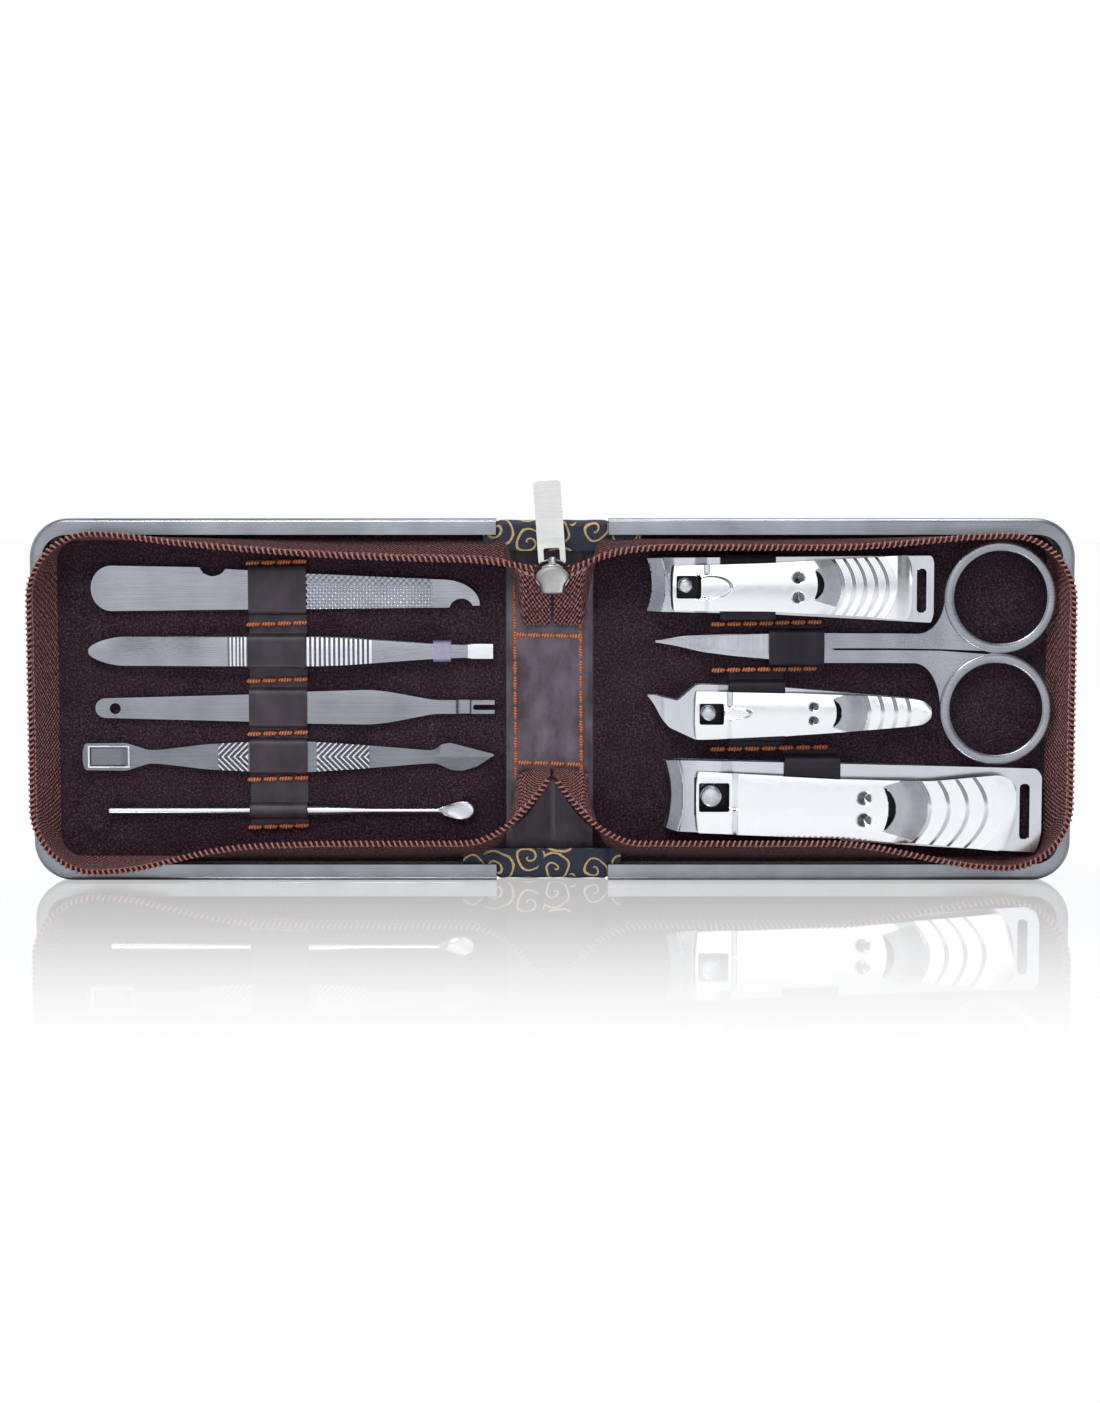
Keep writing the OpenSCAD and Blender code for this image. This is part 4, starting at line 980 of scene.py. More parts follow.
# Nearly white steel on ridge crests and thin lines: a painted highlight beside the grooves.
CREST_HIGHLIGHT_STEEL = Steel("buffed_stainless_steel", "#f0f1f4", 0.24, 0.04, Grain.NONE, 0.001, 0.04)
# Mirror-polished lever: white where it faces the room's bright side and grey at each bend.
BRIGHT_STEEL = Steel("polished_stainless_steel", "#f7f8fa", 0.14, 0.03, Grain.NONE, 0.001, 0.02)
# Bead-blasted field: even, matt, paler at no angle.
MATTE_STEEL = Steel("bead_blasted_stainless_steel", "#bcbdc3", 0.5, 0.06, Grain.NONE, 0.006, 0.12)
# Darker grey steel inside the lever's dimples, with a soft glint: painted shade in the hollows.
DIMPLE_SHADE_STEEL = Steel("pressed_stainless_steel", "#7c7d84", 0.24, 0.04, Grain.NONE, 0.001, 0.06)
# Drawn and polished wire: a thin bright line of light along it.
ROD_STEEL = Steel("polished_steel_wire", "#d6d8de", 0.2, 0.03, Grain.NONE, 0.001, 0.04)
# Clipper bodies polished across: bright with a faint grain.
BODY_STEEL = Steel("polished_clipper_steel", "#d6d8de", 0.2, 0.05, Grain.ACROSS, 0.002, 0.05)
# Dark steel painted as shade on the leaves under the lever, so that windows and slots read as holes.
UNDER_LEVER_SHADE_STEEL = Steel("clipper_steel_painted_shade", "#3c3c42", 0.5, 0.08, Grain.NONE, 0.004, 0.2)
# Lathe-turned pins: bright with small uneven glints.
PIN_STEEL = Steel("turned_steel_pin", "#cdcfd6", 0.26, 0.06, Grain.NONE, 0.003, 0.12)
# Nickel over a rough die casting: warm grey, slightly lumpy.
NICKEL = Steel("nickel_plated_zinc_casting", "#aeb0ac", 0.36, 0.08, Grain.ALONG, 0.01, 0.2)
# Nickel over a flat stamping: paler and smoother.
PULL_NICKEL = Steel("nickel_plated_zinc_stamping", "#dfdfdc", 0.3, 0.07, Grain.ALONG, 0.004, 0.12)
# Knitted pile: nearly black plum that swallows light, with a fine speckle.
PILE = Velour("knitted_plum_velour_pile")
# Coated sheet: smooth dark plum with a low sheen at its folds.
BAND_SHEET = CoatedSheet("plum_coated_sheet", "#30252f", "#473b47", 0.42, 0.4)
# The same coating made darker on the right-hand loops: painted shade.
SHADED_LOOP_SHEET = CoatedSheet("plum_coated_sheet_painted_shade", "#1f1823", "#2b2331", 0.45, 0.25)
# The same sheet made paler in broad clouds down the middle: painted sheen.
SHEEN_PAINTED_SHEET = CoatedSheet("plum_coated_sheet_painted_sheen", "#3c3039", "#6e6271", 0.4)
# Woven tape: matt red-brown with slanting ribs and pale flecks.
TAPE = WovenTape("woven_polyester_zip_tape")
# Braided cord in the coil: dark red-brown, a darkened copy of the tape that paints shade between the turns.
SHADED_CORD = WovenTape("braided_polyester_cord", "#2a1614", "#4c2c29", "#6e463f")
# Drawn filament: glossy, so that each turn carries its own point of light.
COIL = Plastic("drawn_nylon_monofilament", "#a86e67", 0.2)
# Clear vinyl: a faint lilac veil over the tips.
SLEEVE = Plastic("clear_extruded_vinyl_sleeve", "#d6d0ec", 0.3, 0.3, 0.0)
# Waxed thread: warm orange, with painted shade in the gaps between its strands and painted highlights on them.
THREAD = Thread("waxed_orange_polyester_thread")
# Figured weave: matt navy with raised gold curls.
SCROLLS = Brocade("woven_navy_and_gold_brocade")
# Pressed board: dull warm grey with fibres.
BOARD = GreyBoard("pressed_grey_board")


# ---------------------------------------------------------------- the case


@dataclass
class SteelCovers:
    """The two trays of thin brushed steel, with a round back edge and a lip turned in all round."""

    corner: int = 16
    lip_bend: float = 0.9

    def build(self) -> None:
        """Makes both covers from one profile carried round the outline."""
        for side in Side:
            shape = self.cover(side)
            piece = shape.piece(f"{side.word}_cover_shell", COVER_STEEL.material(), "steel_cover", 30.0)
            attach(piece, side.body)
            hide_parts(f"{side.word}_cover")
            LOG.info("cover %s: %d vertices", side.word, len(shape.verts))

    def profile(self) -> Array:
        """Section of the cover as rows of inset, depth and share of the lip, outside first and back along the inside.

        Returns:
            One row for each point of the section.
        """
        s, t, b = SIZES, SIZES.cover_t, self.lip_bend
        a = np.radians(np.linspace(0.0, 90.0, 8))
        e = s.edge_r
        outer = [(e * (1 - math.sin(k)), s.back_y - e * (1 - math.cos(k)), 0.0) for k in a]
        outer += [(0.0, y, 0.0) for y in np.linspace(s.back_y - e - 0.6, b + 0.6, 5)]
        outer += [(b * (1 - math.cos(k)), b * (1 - math.sin(k)), 0.0) for k in a]
        outer += [(b, 0.0, 0.5), (b, 0.0, 1.0), (b, 0.12, 1.03), (b, t - 0.12, 1.03), (b, t, 1.0), (b, t, 0.5)]
        inner = [(b - (b - t) * math.sin(k), b - (b - t) * math.cos(k), 0.0) for k in a]
        inner += [(t, y, 0.0) for y in np.linspace(b + 0.6, s.back_y - e - 0.6, 5)]
        inner += [(e - (e - t) * math.cos(k), s.back_y - e + (e - t) * math.sin(k), 0.0) for k in a]
        return np.array(outer + inner)

    def cover(self, side: Side) -> Shape:
        """Outline stations moved inwards by each row's inset; flat panels close the back outside and inside.

        Args:
            side: its half.

        Returns:
            The closed tray, with its faces outwards.
        """
        s = SIZES
        rows = self.profile()
        base = rounded_run(s.spine_w / 2, s.end_x, 0.0, s.case_h, s.cover_r, (40, self.corner, 20))
        ahead = np.gradient(base, axis=0)
        inward = unit(stacked(ahead[:, 1], -ahead[:, 0]))
        end = np.clip(np.abs(inward[:, 0]), 0.0, 1.0) ** 2
        lip = s.lip_w * (1 - end) + s.end_lip_w * end
        inset = rows[None, :, 0] + rows[None, :, 2] * (lip[:, None] - rows[None, :, 0])
        flat = base[:, None, :] + inset[..., None] * inward[:, None, :]
        points = stacked(side.value * flat[..., 0], rows[:, 1], flat[..., 1])
        n, m = inset.shape
        first, last = [k * m for k in range(n)], [k * m + m - 1 for k in range(n)]
        caps = (tuple(first), tuple(last[::-1]), tuple(range(m))[::-1],
                tuple(range((n - 1) * m, n * m)), (first[-1], first[0], last[0], last[-1]))
        quads = grid_faces(n, m)
        if side is Side.LEFT:
            quads, caps = quads[:, ::-1], tuple(c[::-1] for c in caps)
        return Shape(points.reshape(-1, 3), quads, points[..., [0, 2]].reshape(-1, 2), caps)


@dataclass
class Linings:
    """Velour panels glued over the boards, with their inner edges running onto the spine."""

    flap_left: float = 10.2
    flap_right: float = 9.0
    wave: float = 0.12

    def build(self) -> None:
        """Makes each panel as a slab with a soft, slightly wavy surface that sinks towards its inner edge."""
        s = SIZES
        for side, inner in ((Side.LEFT, self.flap_left), (Side.RIGHT, self.flap_right)):
            x1, z0 = s.end_x - 3.0, 3.6
            z1, r = s.case_h - z0, 6.0
            xs = stations(inner, x1, 0.9, 3.0)
            bow = lambda x: r - np.sqrt(np.clip(r * r - np.clip(x - (x1 - r), 0, r) ** 2, 0, None))
            front = lambda x, z: (s.floor_y + 0.02 - self.wave * np.sin(x / 6.1 + 1.0) * np.sin(z / 7.3)
                                  + 0.5 * smooth_step((inner + 1.6 - x) / 1.6) ** 2)
            shape = slab(xs, lambda x: z0 + bow(x) * 0.98, lambda x: z1 - bow(x) * 0.98, 84, front,
                         constant(s.lining_y))
            shape.verts[:, 0] *= side.value
            piece = Shape(shape.verts, shape.quads, shape.uv).outward().piece(
                f"{side.word}_velour", PILE.material(), "velour_lining", 50.0)
            side.body
            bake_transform(piece)
            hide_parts(f"{side.word}_lining")
        LOG.info("velour linings")


@dataclass
class SpineCloth:
    """Brocade over the spine: the outer cloth at the back and the two gussets that close its ends."""

    tuck: float = 15.5
    thick: float = 0.6

    def build(self) -> None:
        """Makes the left and right half of each cloth."""
        for side in Side:
            outer = self.strip(side, self.back_line(), self.tuck, f"{side.word}_spine_cloth")
            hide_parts("spine_fabric")
            for top in (True, False):
                reach = 19.5 if (top and side is Side.RIGHT) or (not top and side is Side.LEFT) else 15.0
                word = "upper" if top else "lower"
                gusset = self.strip(side, self.gusset_line(top), reach, f"{side.word}_{word}_gusset")
                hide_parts("spine_gusset_top" if top else "spine_gusset_bottom")
        LOG.info("brocade spine cloth and gussets")

    def back_line(self) -> Array:
        """Line of the outer cloth from bottom to top as Y and Z: nearly flat, rounded over at both ends.

        Returns:
            Points of the line.
        """
        t = np.linspace(0.0, 1.0, 60)
        z = 0.35 + 78.3 * t
        edge = np.minimum(z - 0.35, 78.65 - z)
        return stacked(6.98 - 1.6 * (1 - smooth_step(edge / 1.8)) ** 2, z)

    def gusset_line(self, top: bool) -> Array:
        """Line of a gusset from the back over the edge to its front lip as Y and Z.

        Args:
            top: whether it is the upper gusset.

        Returns:
            Points of the line.
        """
        a = np.radians(np.linspace(0, 90, 7))
        line = [(y, 0.32) for y in np.linspace(6.0, 1.8, 9)]
        line += [(1.6 - 1.25 * math.sin(k), 0.32 + 1.25 * (1 - math.cos(k))) for k in a]
        line += [(0.35, z) for z in np.linspace(2.0, 7.0, 9)]
        path = np.array(line)
        if top:
            path[:, 1] = SIZES.case_h - path[:, 1]
        return path

    def strip(self, side: Side, line: Array, reach: float, name: str) -> Object:
        """Cloth carried along X from the middle to its tucked edge; the part under the cover steps inwards.

        Args:
            side: half that the strip reaches into.
            line: its section as Y and Z.
            reach: how far it goes from the middle.
            name: the piece's name.

        Returns:
            The piece.
        """
        ahead = np.gradient(line, axis=0)
        normal = unit(stacked(-ahead[:, 1], ahead[:, 0]))
        middle = np.array([3.0, SIZES.case_h / 2])
        turn = np.sign(np.sum(normal * (middle - line), axis=1))[:, None]
        inward = normal * turn
        xs = np.linspace(0.0, reach, 34)
        sink = 0.62 * smooth_step((xs - 11.4) / 1.2)
        ripple = 0.1 * np.sin(xs[:, None] * 0.9 + line[None, :, 1] * 0.35)
        depth = np.clip(sink[:, None] + ripple * (xs[:, None] < 11.4) * 0.5 + 0.06, 0.0, None)
        outer = line[None] + depth[..., None] * inward[None]
        inner = outer + self.thick * inward[None]
        ring = np.concatenate([outer, inner[:, ::-1]], axis=1)
        shape = tube(stacked(side.value * xs[:, None], ring[..., 0], ring[..., 1]), side.value * xs)
        piece = shape.piece(name, SCROLLS.material(), "brocade", 40.0)
        side.body
        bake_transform(piece)
        return piece


@dataclass
class SpinePanel:
    """Coated sheet down the middle, with a stitched border and a patch at each end."""

    z_low: float = 5.0
    z_high: float = 73.5
    box: tuple[float, float, float, float] = (-8.15, 6.5, 25.3, 53.6)

    def build(self) -> None:
        """Makes the panel, its two edge strips and all its stitches, which ride on the spine."""
        s = SIZES
        x0, x1 = -10.0, 8.8
        xs = stations(x0, x1, 0.35)
        dip = lambda x, middle: np.exp(-((x - middle) / 0.3) ** 2)
        grooves = lambda x, z: 0.22 * (dip(x, x0 + 1.5) + dip(x, x1 - 1.6)) + 0.3 * (dip(z, 55.8) + dip(z, 22.9))
        front = lambda x, z: (s.floor_y + 0.55 - 0.3 * plateau(x, x0, x1, 1.3, 1.3) + grooves(x, z)
                              + 0.08 * np.sin(z / 5.0 + x / 3.0) + 0.08 * np.cos((x + 0.65) / 2.4))
        shape = slab(xs, constant(self.z_low), constant(self.z_high), 120, front, constant(5.6))
        # The panel takes the paler sheet: painted sheen.
        panel = shape.piece("spine_panel", SHEEN_PAINTED_SHEET.material(), "soft_sheet", 50.0)
        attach(panel, "spine")
        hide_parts("spine_lining")
        self.stitches()
        LOG.info("spine panel")

    def stitches(self) -> None:
        """Box of stitches: long vertical rows on both sides and a row across at the top and the bottom."""
        left, right, low, high = self.box
        y = SIZES.floor_y + 0.24
        up, out = np.array([0.0, 0.0, 1.0]), np.array([1.0, 0.0, 0.0])
        rows = [
            stitch_row(np.array([left + 0.1, y, 21.5]), np.array([left - 0.1, y, 68.0]), out, 14, 0.85),
            stitch_row(np.array([right - 0.1, y, 22.0]), np.array([right - 0.45, y, 68.0]), out, 14, 0.85),
            stitch_row(np.array([left - 0.4, y, high]), np.array([right + 0.2, y, high - 0.4]), up, 5, 1.0),
            stitch_row(np.array([left + 0.3, y, low + 0.1]), np.array([right, y, low - 0.4]), up, 4, 1.0)]
        piece = Shape.join(rows).piece("spine_stitches", THREAD.material(), "soft_sheet", 60.0)
        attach(piece, "spine")


@dataclass
class Zip:
    """Zip: a wall of woven tape round each half, a coil on its rim, and the tapes' ends over the spine."""

    tape_t: float = 0.6
    pitch: float = 1.2
    wire: float = 0.24
    cord_r: float = 0.4
    counts: tuple[int, int, int] = (64, 22, 30)
    spine_steps: int = 40

    def build(self) -> None:
        """Makes the tapes and coils of both halves, and the tab where the lower rims meet."""
        for side in Side:
            foot, rim = self.lines(side)
            tape = self.tape(side, foot, rim)
            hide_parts(f"{side.word}_tape", "spine_tape_top", "spine_tape_bottom")
            started, ended = np.cumsum(rim[:, 0] > 3.1) > 0, np.cumsum(rim[::-1, 0] > 0.9)[::-1] > 0
            coil = self.coil(side, rim[started & ended])
            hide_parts(f"{side.word}_coil")
            for piece in (tape, coil, self.cord(side, rim)):
                side.body
                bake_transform(piece)
        self.tab()
        LOG.info("zip tapes and coils")

    def rim_top(self, x: Array, side: Side) -> Array:
        """Height of the upper rim over the spine: it dips from the half's rim to the slider."""
        edge = SIZES.case_h - SIZES.rim_in - SIZES.sag_top(side)
        return edge - (edge - SIZES.meet_z) * (1 - np.clip(np.abs(x) - 4.8, 0, None) / (SIZES.tape_x - 4.8)) ** 2.4

    def foot_top(self, x: Array) -> Array:
        """Height of the upper tape's foot over the spine: low behind the slider, then steeply up to the half's."""
        top = SIZES.case_h - SIZES.foot_in
        return (SIZES.slant_z + 12.0 * smooth_step((np.abs(x) - 5.9) / 3.2)
                + (top - SIZES.slant_z - 12.0) * smooth_step((np.abs(x) - 8.6) / 2.0))

    def rim_low(self, x: Array) -> tuple[Array, Array]:
        """Depth and height of the lower rim over the spine: it rises to the place where both rims meet.

        Args:
            x: places along X.

        Returns:
            Depth and height at each place.
        """
        edge = SIZES.rim_in + SIZES.sag_bottom
        t = np.clip(1 - (np.abs(x) - 0.5) / 19.0, 0.0, 1.0) ** 2
        return SIZES.rim_y + 4.2 * t, edge + (SIZES.low_meet_z - edge) * t

    def foot_low(self, x: Array) -> Array:
        """Height of the lower tape's foot over the spine: high behind the meeting point, then steeply down."""
        return soft([(0, 24.2), (6.8, 23.6), (7.6, 21.0), (9.1, 13.7), (11.5, 8.0), (15, 4.9), (30, 4.7)], 0.5)(x)

    def foot_depth(self, x: Array) -> Array:
        """Depth of a foot over the spine: it stands off the lining where the file and the ear pick slide under it."""
        return SIZES.tool_y - 2.3 * plateau(x, 4.2, 14.5, 2.2, 3.0)

    def lines(self, side: Side) -> tuple[Array, Array]:
        """Foot and rim of a half's tape from the slider round to the lower meeting point, with X always positive.

        Args:
            side: its half.

        Returns:
            The foot and the rim, each as points X, Y and Z.
        """
        s = SIZES
        foot = rounded_run(s.tape_x, s.end_x - s.foot_end_in, s.foot_in, s.case_h - s.foot_in, s.foot_r, self.counts)
        if side is Side.LEFT:
            end, low, high = s.end_x - 0.9, s.rim_in - 1.0, s.case_h - s.rim_in + 0.5
            fall = soft([(26, 5.5), (40, 5.0), (50, 4.5), (62, 3.7), (70, 3.0), (81, 2.0), (90, 0.7), (98, 0.0)], 4.0)
            lift = soft([(26, 6.4), (48, 6.4), (64, 5.9), (72, 5.1), (81, 3.1), (89, 0.9), (98, 0.0)], 4.0)
        else:
            end, low, high = s.end_x - s.rim_end_in, s.rim_in, s.case_h - s.rim_in
            ease = lambda x: smooth_step((end - s.rim_r - x) / s.sag_run)
            fall, lift = (lambda x: s.sag_top(side) * ease(x)), (lambda x: s.sag_bottom * ease(x))
        rim = rounded_run(s.tape_x, end, low, high, s.rim_r, self.counts)
        rim[:, 1] += np.where(rim[:, 1] > s.case_h / 2, -fall(rim[:, 0]), lift(rim[:, 0]))
        foot, rim = stacked(foot[:, 0], s.floor_y, foot[:, 1]), stacked(rim[:, 0], s.rim_y, rim[:, 1])
        x = np.linspace(0.32, s.tape_x, self.spine_steps, endpoint=False)
        depth = self.foot_depth(x)
        return (np.concatenate([stacked(x, depth, self.foot_top(x)), foot, stacked(x, depth, self.foot_low(x))[::-1]]),
                np.concatenate([stacked(x, s.rim_y, self.rim_top(x, side)), rim, stacked(x, *self.rim_low(x))[::-1]]))

    def tape(self, side: Side, foot: Array, rim: Array) -> Object:
        """Tape as a ring of points at each station: up its outer face, over the rim and down its inner face.

        Args:
            side: its half.
            foot: line where it is sewn down.
            rim: line of its free edge.

        Returns:
            The piece.
        """
        across = rim - foot
        ahead = np.gradient(foot + rim, axis=0)
        out = unit(np.cross(ahead, across))
        t = np.linspace(0.0, 1.0, 12)
        run = travelled(rim)
        swell = 0.35 * np.sin(np.pi * t)[None, :] * (1 + 0.5 * np.sin(run / 9.0))[:, None]
        ripple = 0.08 * np.sin(run / 1.9)[:, None] * t[None, :] ** 2
        body = foot[:, None, :] + across[:, None, :] * t[None, :, None]
        out *= 1.0 if out[len(out) // 2, 0] > 0 else -1.0
        free = smooth_step((foot[:, 0] - 4.2) / 5.0)[:, None, None]
        offset = (swell + ripple)[..., None] * out[:, None, :] * free
        half = (self.tape_t / 2) * np.where(t < 1.0, 1.0, 0.6)[None, :, None] * out[:, None, :]
        ring = np.concatenate([body + offset + half, (body + offset - half)[:, ::-1]], axis=1)
        ring[..., 0] = np.maximum(ring[..., 0], 0.06) * side.value
        v = np.concatenate([t * 10.0, 10.6 + (t[::-1] * 10.0)])
        shape = tube(ring, run)
        uv = stacked(run[:, None], v).reshape(-1, 2)
        return Shape(shape.verts, shape.quads, uv, shape.faces).piece(
            f"{side.word}_tape_wall", TAPE.material(), "zip_tape", 50.0)

    def cord(self, side: Side, rim: Array) -> Object:
        """Cord inside the coil: a round section carried along the rim, one coil radius in front of it.

        Args:
            side: its half.
            rim: line of the tape's free edge.

        Returns:
            The piece.
        """
        line = rim + np.array([0.0, SIZES.coil_y - SIZES.rim_y + 0.1, 0.0])
        ahead = unit(np.gradient(line, axis=0))
        across = unit(np.cross(ahead, np.array([0.0, 1.0, 0.0])))
        b = circle(10)
        ring = rings(line, across, np.cross(ahead, across), self.cord_r * np.cos(b), 1.5 * self.cord_r * np.sin(b))
        ring[..., 0] *= side.value
        return tube(ring, travelled(line)).piece(f"{side.word}_coil_cord", SHADED_CORD.material(), "zip_tape", 80.0)

    def coil(self, side: Side, rim: Array) -> Object:
        """Monofilament wound into a flat coil: a wire carried along a spiral round the rim.

        The middle line is the rim moved forward by the coil's radius. At the turn a the spiral's point lies
        cos a across and sin a forward of it, and a wire of round section follows that line.

        Args:
            side: its half.
            rim: line of the tape's free edge.

        Returns:
            The piece.
        """
        centre = rim.copy()
        centre[:, 1] += SIZES.coil_y - SIZES.rim_y
        run = travelled(centre)
        turns = run[-1] / self.pitch
        s = np.linspace(0.0, run[-1], int(turns * 11))
        line = np.stack([np.interp(s, run, centre[:, k]) for k in range(3)], 1)
        ahead = unit(np.gradient(line, axis=0))
        forward = np.array([0.0, 1.0, 0.0])
        a = 2.0 * math.pi * s / self.pitch
        squash = squared(a, 0.8)[1]
        path = line + (0.5 * np.cos(a))[:, None] * unit(np.cross(ahead, forward)) + (0.52 * squash)[:, None] * forward
        tangent = unit(np.gradient(path, axis=0))
        one, b = unit(np.cross(tangent, ahead)), circle(6)
        ring = rings(path, one, np.cross(tangent, one), self.wire * np.cos(b), self.wire * np.sin(b))
        ring[..., 0] *= side.value
        return tube(ring, s).piece(f"{side.word}_zip_coil", COIL.material(), "nylon_coil", 80.0)

    def tab(self) -> None:
        """Triangle of coated sheet under the place where the lower rims meet. Its upper edges follow the coils, and it
        leans back from them to its foot."""
        half, low = 8.6, 8.6
        x = np.linspace(-half, half, 61)
        rim_y, rim_z = self.rim_low(x)
        foot_y, foot_z = SIZES.tool_y, SIZES.foot_in + 0.2
        top = np.maximum(rim_z - 0.5 - 1.2 * smooth_step(np.abs(x) / 5.0), low + 0.3)
        t = np.linspace(0.0, 1.0, 16)
        z = low + (top - low)[:, None] * t
        y = foot_y + (rim_y - foot_y)[:, None] * (z - foot_z) / (rim_z - foot_z)[:, None] - 0.78
        outer = stacked(x[:, None], y - 0.4 - 0.15 * np.sin(np.pi * t), z)
        inner = stacked(x[:, None], y, z)
        piece = tube(np.concatenate([outer, inner[:, ::-1]], axis=1), x).piece(
            "zip_end_triangle", BAND_SHEET.material(), "soft_sheet", 40.0)
        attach(piece, "spine")
        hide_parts("zip_end_tab")


@dataclass
class Slider:
    """Zip slider in the plane of the slanted tape, with its pull standing up."""

    width: float = 7.2
    tail: float = 5.2
    length: float = 9.6
    eye_y: float = -2.961
    eye_z: float = 69.433

    def on_slant(self, shape: Shape) -> Shape:
        """Turns a shape drawn with Y across the tape and Z up along it into the tape's plane.

        Args:
            shape: the shape as drawn.

        Returns:
            The shape in its place.
        """
        foot = np.array([0.0, SIZES.tool_y, SIZES.slant_z])
        rise = np.array([0.0, SIZES.rim_y - SIZES.tool_y, SIZES.meet_z - SIZES.slant_z])
        up = unit(rise)
        out = np.array([0.0, up[2], -up[1]])
        v = shape.verts
        return Shape(foot + v[:, [0]] * np.array([1.0, 0, 0]) + v[:, [1]] * out + v[:, [2]] * up,
                     shape.quads, shape.uv, shape.faces)

    def build(self) -> None:
        """Makes the two domed plates with their post and bridge, and the pull with its window."""
        long = math.hypot(SIZES.rim_y - SIZES.tool_y, SIZES.meet_z - SIZES.slant_z)
        top = long - 1.2 + 0.3 * self.length
        low = long - 1.2 - 0.55 * self.length
        xs = stations(-self.width / 2, self.width / 2, 0.2, 1.2)
        r = self.width / 2
        centre = top - r
        round_edge = lambda x: np.sqrt(np.clip(r * r - x * x, 0.0, None))
        wing = lambda x: smooth_step((np.abs(x) - self.tail / 2 + 0.5) / 0.5)
        tail = lambda x: low + 0.6 * (np.abs(x) / (self.tail / 2)) ** 4
        lower = lambda x: tail(x) * (1 - wing(x)) + (centre - round_edge(x)) * wing(x) - 0.02
        upper = lambda x: centre + round_edge(x) + 0.02
        half = lambda z: r - (r - self.tail / 2 - 0.1) * smooth_step((centre - z) / 2.2)
        far = lambda x, z: np.where(z > centre, ((x / r) ** 2 + ((z - centre) / r) ** 2) ** 3,
                                    (x / half(z)) ** 6 + ((centre - z) / (centre - low)) ** 8)
        dome = lambda x, z: 0.6 * np.sqrt(np.clip(1.0 - far(x, z), 0.0, 1.0))
        gap = 0.6
        plates = [
            slab(xs, lower, upper, 44, lambda x, z: -gap - 0.35 - dome(x, z), constant(-gap)),
            slab(xs, lower, upper, 44, constant(gap), lambda x, z: gap + 0.35 + dome(x, z))]
        post = self.rod(0.0, long + 1.3, 1.0, -gap - 0.3, gap + 0.3)
        bridge = self.bridge(long - 2.2)
        body = self.on_slant(Shape.join(plates + [post, bridge])).piece(
            "slider_body", NICKEL.material(), "nickel", 40.0, 0.1)
        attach(body, "slider")
        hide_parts("zip_slider")
        self.pull()
        LOG.info("slider and pull")

    def rod(self, x: float, z: float, r: float, y0: float, y1: float) -> Shape:
        """Short round post along Y.

        Args:
            x: its place along X.
            z: its place along Z.
            r: its radius.
            y0: its back end.
            y1: its front end.

        Returns:
            The closed shape.
        """
        a = circle(24)
        return tube(stacked(x + r * np.cos(a), np.array([[y0], [y1]]), z + r * np.sin(a)))

    def bridge(self, middle: float) -> Shape:
        """Low arch on the outer plate: a flat bar bent over the eye, as rings along half an oval.

        Args:
            middle: height of its middle.

        Returns:
            The closed shape.
        """
        a = np.linspace(0.0, math.pi, 25)
        path = stacked(0.0, 1.1 + 1.75 * np.sin(a) ** 0.75, middle - 2.8 * np.cos(a))
        across = np.array([[1.0, 0.0, 0.0]])
        wide, deep = squared(circle(16), 0.5)
        return tube(rings(path, across, unit(np.cross(across, np.gradient(path, axis=0))), 1.1 * wide, -0.42 * deep))

    def pull(self) -> None:
        """Flat pull: a rectangular window at its foot, slightly waisted above it, with soft corners."""
        l, w = 18.2, 5.9
        xs = stations(-w / 2, w / 2, 0.14, 0.8)
        foot = -0.5
        corner = lambda x, r: r - np.sqrt(np.clip(r * r - np.clip(np.abs(x) - (w / 2 - r), 0, r) ** 2, 0, None))
        shape = slab(xs, lambda x: foot + corner(x, 1.1), lambda x: l + foot - corner(x, 0.9), 130,
                     lambda x, z: -0.5 - 0.1 * smooth_step((z - 4.5) / 1.0),
                     lambda x, z: 0.5 + 0.1 * smooth_step((z - 4.5) / 1.0),
                     [box_hole(-1.75, 1.75, foot + 0.75, 3.3, 0.5)])
        lean = math.radians(-4.0)
        turn = np.array([[math.cos(lean), 0, math.sin(lean)], [0, 1, 0], [-math.sin(lean), 0, math.cos(lean)]])
        verts = shape.verts @ turn.T + np.array([0.0, self.eye_y, self.eye_z])
        piece = Shape(verts, shape.quads, shape.uv).piece("pull_tab", PULL_NICKEL.material(), "nickel", 40.0, 0.22)
        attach(piece, "pull")
        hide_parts("zip_pull")


